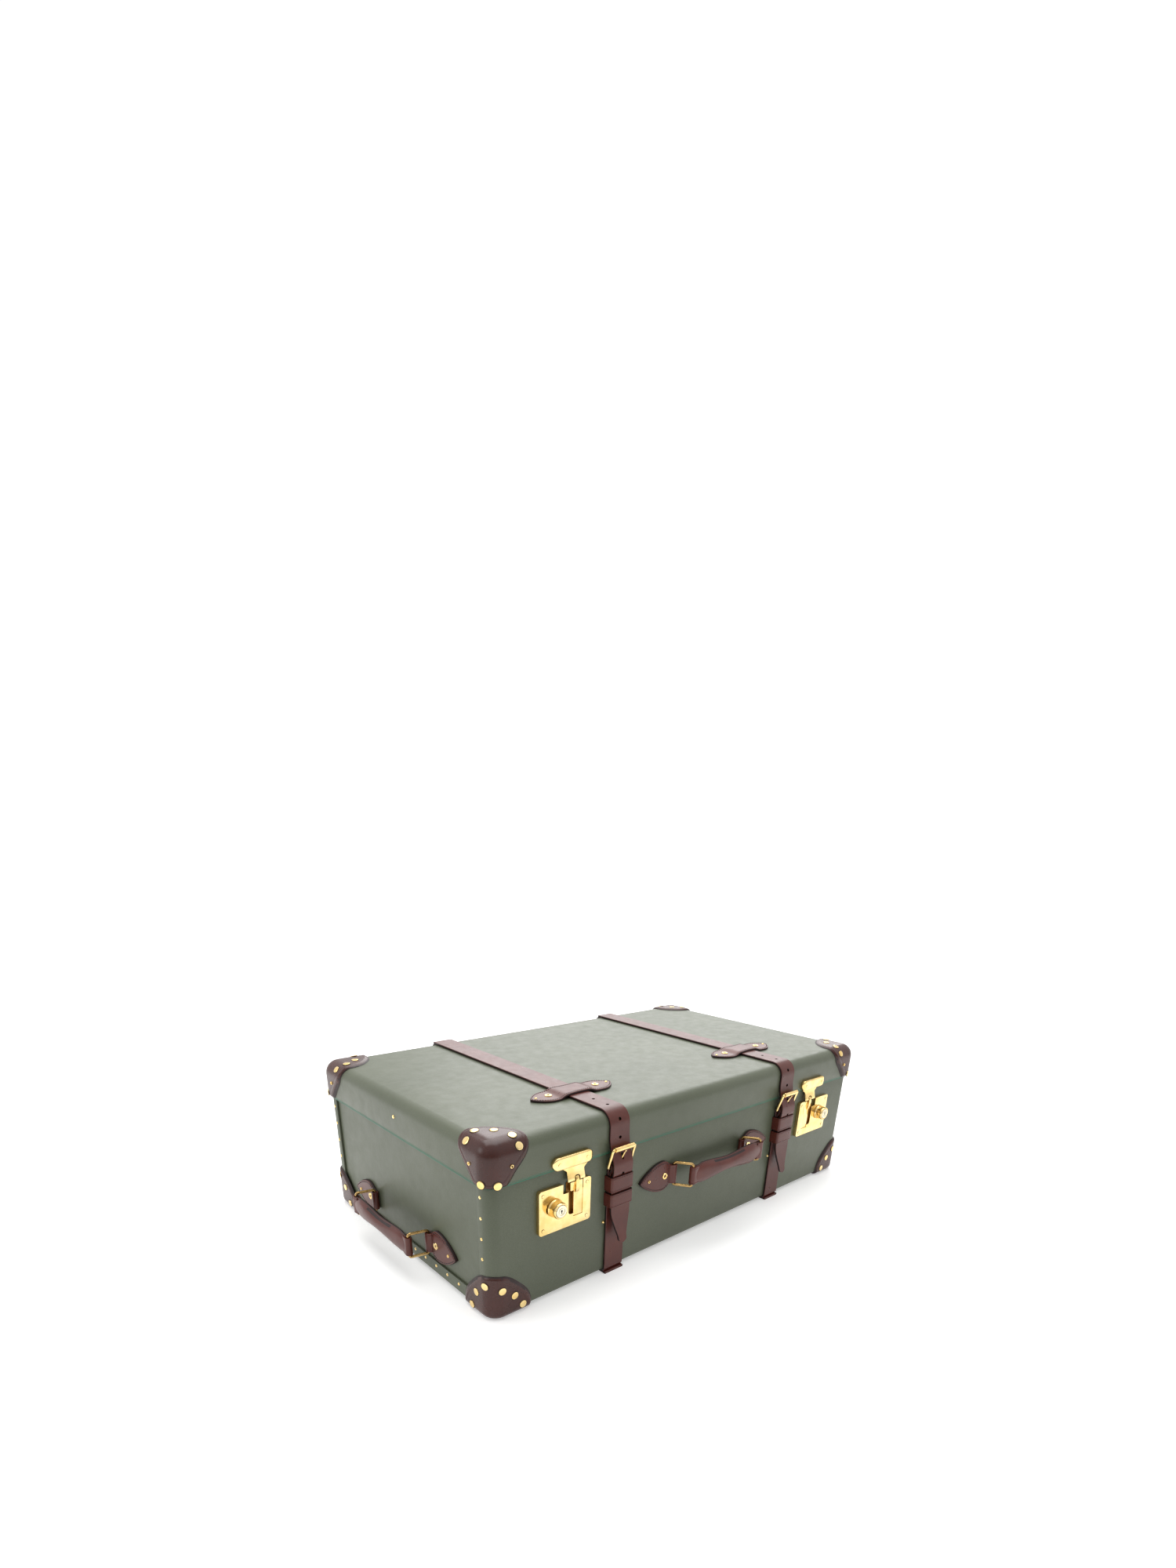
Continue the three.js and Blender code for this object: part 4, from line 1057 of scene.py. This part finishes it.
def handle(name, along, height, lean, place3, outward):
    """A wall handle. place3 turns (along, up, out of the wall) into a point. Both rings lean by the same
    angle from square to the wall."""
    slide, out = math.sin(math.radians(lean)), math.cos(math.radians(lean))
    for side, sign in SIDES:

        def place(u, v, h, sign=sign):
            return place3(along + sign * u, height + v, h)

        def swung(v, h, sign=sign):
            arm = h - BAR_OUT
            return place3(along + sign * FOLD + arm * slide, height + v, BAR_OUT + arm * out)

        stations = [FOLD + 1 + 64 * (0.5 - 0.5 * math.cos(math.pi * k / 48)) for k in range(49)]
        leaf = leaf_sheet(f"{name}_chape_leaf_{side}", stations, chape_half, lambda u: GAP, 4.2, place)
        dark_rim(leaf, outward)
        fold = fold_over_bar("fold", 1, BAR_OUT, 1, place)
        tab = merged(f"{name}_chape_leather_{side}", [leaf, fold])
        finish_piece(tab, "base", [f"{name}_handle_chape_{side}"])
        inner = [u for u in stations if u > FOLD + 9]
        line = inset_outline(inner, chape_half, lambda u, v: place(u, v, GAP + 4.35))
        stitches(f"{name}_chape_stitching_{side}", line, [Vector(outward)] * len(line), "base")
        spots = [(place(FOLD + 17, 0, GAP + 4.4), Vector(outward), 5.0, 1.3, "hollow"),
                 (place(FOLD + 48.5, 0, GAP + 4.4), Vector(outward), 2.4, 1.2, "hollow")]
        rivets(f"{name}_chape_rivets_{side}", spots, "base")
        outline = spaced(rounded_rectangle(-17, BAR_OUT, 17, BAR_OUT + REACH, 3.0, 5), 1.5)
        ring = wire_loop(f"{name}_ring_wire_{side}", outline, swung, 2.0, OLD_BRASS)
        finish_piece(ring, f"{name}_ring_{side}", [f"{name}_handle_ring_{side}"])

    bar = BAR_OUT + REACH * out

    def at(u, v, h):
        return place3(along + REACH * slide + u, height + v, h)

    body = handle_grip("grip", at, bar)
    folds = [fold_over_bar("grip_fold", sign, bar, -1, at, 13.0, 2.3, 9.0) for _, sign in SIDES]
    grip = merged(f"{name}_grip_leather", [body] + folds)
    finish_piece(grip, f"{name}_grip", [f"{name}_handle_grip"])
    for level, edge in (("low", -1), ("high", 1)):
        line = []
        for k in range(81):
            u = -(FOLD - 10) + 2 * (FOLD - 10) * k / 80
            line.append(at(u, edge * (grip_half_height(u) - 2.3), bar + 1.9))
        stitches(f"{name}_grip_stitching_{level}", line, [Vector(outward)] * len(line), f"{name}_grip")


# Locks

def lock_rectangle(s, u0, v0, u1, v1, radius, steps):
    """A rounded rectangle drawn for the right-hand lock, put on the side whose sign is s."""
    return rounded_rectangle(min(s * u0, s * u1), v0, max(s * u0, s * u1), v1, radius, steps)


def lock_plate(side, s):
    low, high = extent(f"lock_plate_{side}")
    front, back = low.y, high.y
    plate = prism("plate", rounded_rectangle(low.x, low.z, high.x, high.z, 4, 8), "xz", front, back, BRASS)
    for u0, v0, u1, v1, radius in (
        (242.5, 145, 275, high.z + 8, 1.2), (243, 109.8, 258.2, 148, 0.8), (255, 114, 266.2, 148, 4.0),
        (KNOB_X - 7.4, KNOB_Z - 7.4, KNOB_X + 13.4, KNOB_Z + 7.4, 7.3),
    ):
        opening = lock_rectangle(s, u0, v0, u1, v1, radius, 8)
        combined(plate, prism("cut", opening, "xz", front - 2, back + 2, BRASS), "DIFFERENCE")
    bevelled(plate, 0.7, 3)
    plate.name = f"lock_face_{side}"
    finish_piece(plate, "base", [f"lock_plate_{side}"])
    outward = Vector((0, -1, 0))
    pins = [(Vector((s * u, front, z)), outward, 2.1, 0.55, "disc")
            for u in (236.5, 306) for z in (104.5, 151.5)]
    pins.append((Vector((s * 303.2, front, KNOB_Z - 3)), outward, 1.2, 0.2))
    rivets(f"lock_pins_{side}", pins, "base")
    # A dark brass sheet in the well behind the lever is painted shade.
    well = prism(f"lock_well_shade_{side}", lock_rectangle(s, 242.6, 109, 266.6, 157, 0.5, 2), "xz",
                 FRONT - 0.9, FRONT - GAP, SHADE_BRASS)
    finish_piece(well, "base")


def lock_lever(side, s):
    """A flat panel with a wider head, and a hooked finger that stands proud of the plate."""
    back = FRONT - GAP - 1.2
    panel = prism("panel", lock_rectangle(s, 243.3, 110.2, 257.8, 150, 0.8, 4), "xz", back - 3.8, back, BRASS)
    head = prism("head", lock_rectangle(s, 243.3, 145.6, 263, 157, 1.0, 4), "xz", back - 3.8, back, BRASS)
    combined(panel, head, "UNION")
    hook = [(0, 146), (-3.4, 142.2), (-5.4, 143.2), (-6.8, 146), (-7, 150), (-6.9, 158), (-6.2, 162.4),
            (-4.8, 164.7), (-2.8, 165), (-0.4, 164.6)]
    finger = prism("finger", [(back + y, z) for y, z in hook], "yz", s * 251.2, s * 256.4, BRASS)
    combined(panel, finger, "UNION")
    bevelled(panel, 0.6, 2)
    panel.name = f"lock_tongue_{side}"
    finish_piece(panel, f"lever_{side}", [f"lock_lever_{side}"])


def lock_knob(side, s):
    base, place = GAP + LOCK_PLATE + GAP, (s * KNOB_X, FRONT, KNOB_Z)
    skirt = [(11.5, 0), (11.8, 0.3), (11.8, 1.6), (11.4, 2.2), (11.0, 2.8), (10.9, 4), (10.8, 10.4),
             (10.5, 12), (9.9, 12.9), (8.9, 12.9), (8.5, 12.5), (8.45, 1.4), (0, 1.4)]
    profile = [(0, 0.5), (7, 0.5), (7, base)] + [(r, base + h) for r, h in skirt]
    knob = lathe(f"lock_button_{side}", profile, place, (0, -1, 0), BRASS, 64)
    finish_piece(knob, f"knob_{side}", [f"lock_knob_{side}"])
    rise = [(0, 1.7), (8.2, 1.7), (8.2, 12.9), (7.9, 13.3), (4.9, 13.3), (4.8, 12.7), (4.2, 12.7),
            (4.1, 13.3), (0, 13.3)]
    plug = lathe("plug", [(r, base + h) for r, h in rise], place, (0, -1, 0), PALE, 64)
    y = FRONT - base - 14
    x = s * KNOB_X
    slot = rounded_rectangle(x - 0.7, KNOB_Z - 2.7, x + 0.7, KNOB_Z + 1, 0.3, 2)
    combined(plug, prism("slot", slot, "xz", y, y + 6, DARK), "DIFFERENCE")
    hole = lathe("hole", [(0, 0), (1.4, 0), (1.4, 6), (0, 6)], (x, y, KNOB_Z + 0.9), (0, 1, 0), DARK, 20)
    combined(plug, hole, "DIFFERENCE")
    shade(plug.data, 35)
    keyway = rounded_rectangle(x - 1.1, KNOB_Z - 2.7, x + 1.1, KNOB_Z + 2.2, 0.4, 2)
    plug = merged("plug", [plug, prism("keyway", keyway, "xz", y + 1.4, y + 3, DARK)])
    plug.name = f"lock_cylinder_{side}"
    finish_piece(plug, f"plug_{side}", [f"lock_key_plug_{side}"])


def lock_catch(side, s):
    """The lid's catch: a pillowed bar, and a neck that hollows below it and swells out to a rolled lip."""
    back = LID_FRONT - GAP
    x, z, half, high = s * 259.5, 186.7, 31.5, 8.5
    rings = []
    for k in range(41):
        u = -math.cos(math.pi * k / 40) * half
        end = max(abs(u) - half + high, 0) / high
        scale = max(math.sqrt(max(1 - end ** 2, 0)), 0.02)
        front = [(high * scale * math.sin(math.pi / 2 * (-1 + j / 8)), j) for j in range(17)]
        ring = [Vector((x + u, back - 0.9 - 5.1 * scale ** 0.6 * (1 - abs(-1 + j / 8) ** 5) ** 0.6, z + v))
                for v, j in front]
        rings.append(ring + [Vector((x + u, back, z + v)) for v, _ in reversed(front)])
    bar = loft("bar", rings, BRASS, smooth_angle=50)
    path = smooth_line([(s * 254.75, back - y, v) for y, v in (
        (1.7, 184), (1.6, 177.5), (2.3, 172), (3.6, 166), (4.6, 161.8), (4.7, 159.9))], 6)
    wide = [1 + 0.5 * (1 - eased((178.6 - p.z) / 7)) for p in path]
    section = rounded_rectangle(-13.75, -1.2, 13.75, 1.2, 1.1, 4)
    neck = sweep("neck", path, (1, 0, 0), section, BRASS, widths=wide)
    fork = lock_rectangle(s, 249.4, 150, 258.2, 166.5, 3.2, 6)
    combined(neck, prism("fork", fork, "xz", back - 14, back + 3, BRASS), "DIFFERENCE")
    shade(neck.data, 40)
    hasp = merged(f"lock_hasp_{side}", [bar, neck])
    finish_piece(hasp, "lid", [f"lock_catch_{side}"])
    spots = [(Vector((s * u, back - 5.9, z - 0.4)), Vector((0, -1, 0)), 2.2, 0.6, "disc") for u in (238, 282)]
    rivets(f"lock_hasp_pins_{side}", spots, "lid")


# Rear hinges

def hinge(side, sign):
    x = sign * 268
    third = 10.0
    for name, y0, z0, z1, spans in (
        ("base", BASE_Y + GAP, RIM - 27, RIM - 3.2, ((-30, -third - GAP), (third + GAP, 30))),
        ("lid", LID_Y + GAP, RIM + 3.6, RIM + 27, ((-third, third),)),
    ):
        plate = prism("plate", rounded_rectangle(x - 30, z0, x + 30, z1, 3, 5), "xz", y0, y0 + 1.6, BRASS)
        bevelled(plate, 0.35, 2)
        pieces = [plate]
        for a, b in spans:
            profile = [(1.7, a), (3.0, a), (3.2, a + 0.3), (3.2, b - 0.3), (3.0, b), (1.7, b), (1.7, a)]
            pieces.append(lathe("knuckle", profile, (x, HINGE_Y, RIM), (1, 0, 0), BRASS, 28))
            up = -1 if name == "base" else 1
            z_edge = z1 - 0.5 if name == "base" else z0 + 0.5
            z_near = RIM + up * 2.2
            web = [(y0, z_edge), (y0 + 1.6, z_edge), (HINGE_Y - 1.0, z_near + up * 0.6),
                   (HINGE_Y - 2.4, z_near)]
            pieces.append(prism("web", web, "yz", x + a, x + b, BRASS))
        leaf = merged(f"hinge_{name}_plate_{side}", pieces)
        finish_piece(leaf, name, [f"hinge_{name}_leaf_{side}"])
        middle = (z0 + z1) / 2
        spots = [(Vector((x + u, y0 + 1.6, middle)), Vector((0, 1, 0)), 3.0, 1.1) for u in (-20, 0, 20)]
        rivets(f"hinge_{name}_rivets_{side}", spots, name)
    coat_node(f"hinge_pin_{side}", BRASS)


def loose_studs():
    spots = [(Vector((sign * BELT_X - BELT_HALF - 2.6, FRONT, 80)), Vector((0, -1, 0)), 2.2, 2.4)
             for _, sign in SIDES]
    rivets("belt_studs", spots, "base")
    for side, sign in SIDES:
        spot = (Vector((sign * LID_X, 0, 204.7)), Vector((sign, 0, 0)), 2.6, 1.4)
        rivets(f"lid_stay_rivet_{side}", [spot], "lid")


case_parts()
lid_rim_band()
flange_rivets()
corner_caps()
for side_name, side_sign in SIDES:
    belt(side_name, side_sign)
    keeper(side_name, side_sign, "upper")
    keeper(side_name, side_sign, "lower")
    buckle(side_name, side_sign)
    guide(side_name, side_sign)
    lock_plate(side_name, side_sign)
    lock_lever(side_name, side_sign)
    lock_knob(side_name, side_sign)
    lock_catch(side_name, side_sign)
    hinge(side_name, side_sign)
handle("front", 3.5, 117, 35, lambda u, v, h: Vector((u, FRONT - h, v)), (0, -1, 0))
handle("end", -5, 51, -12, lambda u, v, h: Vector((-END_WALL - h, -u, v)), (-1, 0, 0))
loose_studs()


# Studio: pale floor, soft lights, camera

def studio():
    scene = bpy.context.scene
    scene.view_settings.view_transform = "Standard"
    mesh = bpy.data.meshes.new("floor")
    half = 12.0
    corners = [(-half, -half, 0), (half, -half, 0), (half, half, 0), (-half, half, 0)]
    mesh.from_pydata(corners, [], [(0, 1, 2, 3)])
    floor = bpy.data.objects.new("floor", mesh)
    scene.collection.objects.link(floor)
    pale, _, _ = new_material("floor_pale", Base_Color=(0.80, 0.80, 0.795, 1), Roughness=0.8,
                              Specular_IOR_Level=0.1, Emission_Color=(1, 1, 1, 1), Emission_Strength=0.32)
    mesh.materials.append(pale)
    room()
    soft_light("back_light", (2.3, 2.0, 1.9), (0, 0, 0.1), 3.0, 2.0, 46)
    soft_light("top_light", (0.3, 0.6, 2.5), (0, 0, 0.1), 2.6, 2.2, 60)
    soft_light("left_light", (-2.4, 0.9, 1.5), (0, 0, 0.1), 1.4, 1.0, 10)


def room():
    """White walls behind and above, and a dimmer side in front of the case."""
    world = bpy.data.worlds.new("studio")
    world.use_nodes = True
    tree = world.node_tree
    coords = tree.nodes.new("ShaderNodeTexCoord")
    facing = tree.nodes.new("ShaderNodeVectorMath")
    facing.operation = "DOT_PRODUCT"
    facing.inputs[1].default_value = (0.45, 0.72, 0.53)
    tree.links.new(coords.outputs["Generated"], facing.inputs[0])
    spread = tree.nodes.new("ShaderNodeMapRange")
    spread.inputs["From Min"].default_value = -0.8
    spread.inputs["From Max"].default_value = 0.1
    spread.inputs["To Min"].default_value = 0.26
    spread.inputs["To Max"].default_value = 1.05
    tree.links.new(facing.outputs["Value"], spread.inputs["Value"])
    tree.links.new(spread.outputs["Result"], tree.nodes["Background"].inputs["Strength"])
    tree.nodes["Background"].inputs["Color"].default_value = (1, 1, 1, 1)
    bpy.context.scene.world = world


def soft_light(name, place, aim, width, height, watts):
    data = bpy.data.lights.new(name, "AREA")
    data.shape = "RECTANGLE"
    data.size = width
    data.size_y = height
    data.energy = watts
    thing = bpy.data.objects.new(name, data)
    thing.location = place
    direction = Vector(aim) - Vector(place)
    thing.rotation_euler = direction.to_track_quat("-Z", "Y").to_euler()
    bpy.context.scene.collection.objects.link(thing)


def camera():
    """A wide lens from the front left corner, looking down, with the view shifted up."""
    yaw, pitch, roll = math.radians(-41.92), math.radians(24.27), math.radians(1.65)
    forward = Vector((-math.sin(yaw) * math.cos(pitch), math.cos(yaw) * math.cos(pitch), -math.sin(pitch)))
    level = forward.cross(Vector((0, 0, 1))).normalized()
    upright = level.cross(forward)
    right = level * math.cos(roll) + upright * math.sin(roll)
    up = upright * math.cos(roll) - level * math.sin(roll)
    data = bpy.data.cameras.new("camera")
    data.lens = 16.25
    data.sensor_width = 36
    data.shift_y = 0.246
    thing = bpy.data.objects.new("camera", data)
    matrix = Matrix((right, up, -forward)).transposed().to_4x4()
    matrix.translation = metres((-769.4, -814.8, 523.8 + FLOOR))
    thing.matrix_world = matrix
    bpy.context.scene.collection.objects.link(thing)
    bpy.context.scene.camera = thing


studio()
camera()
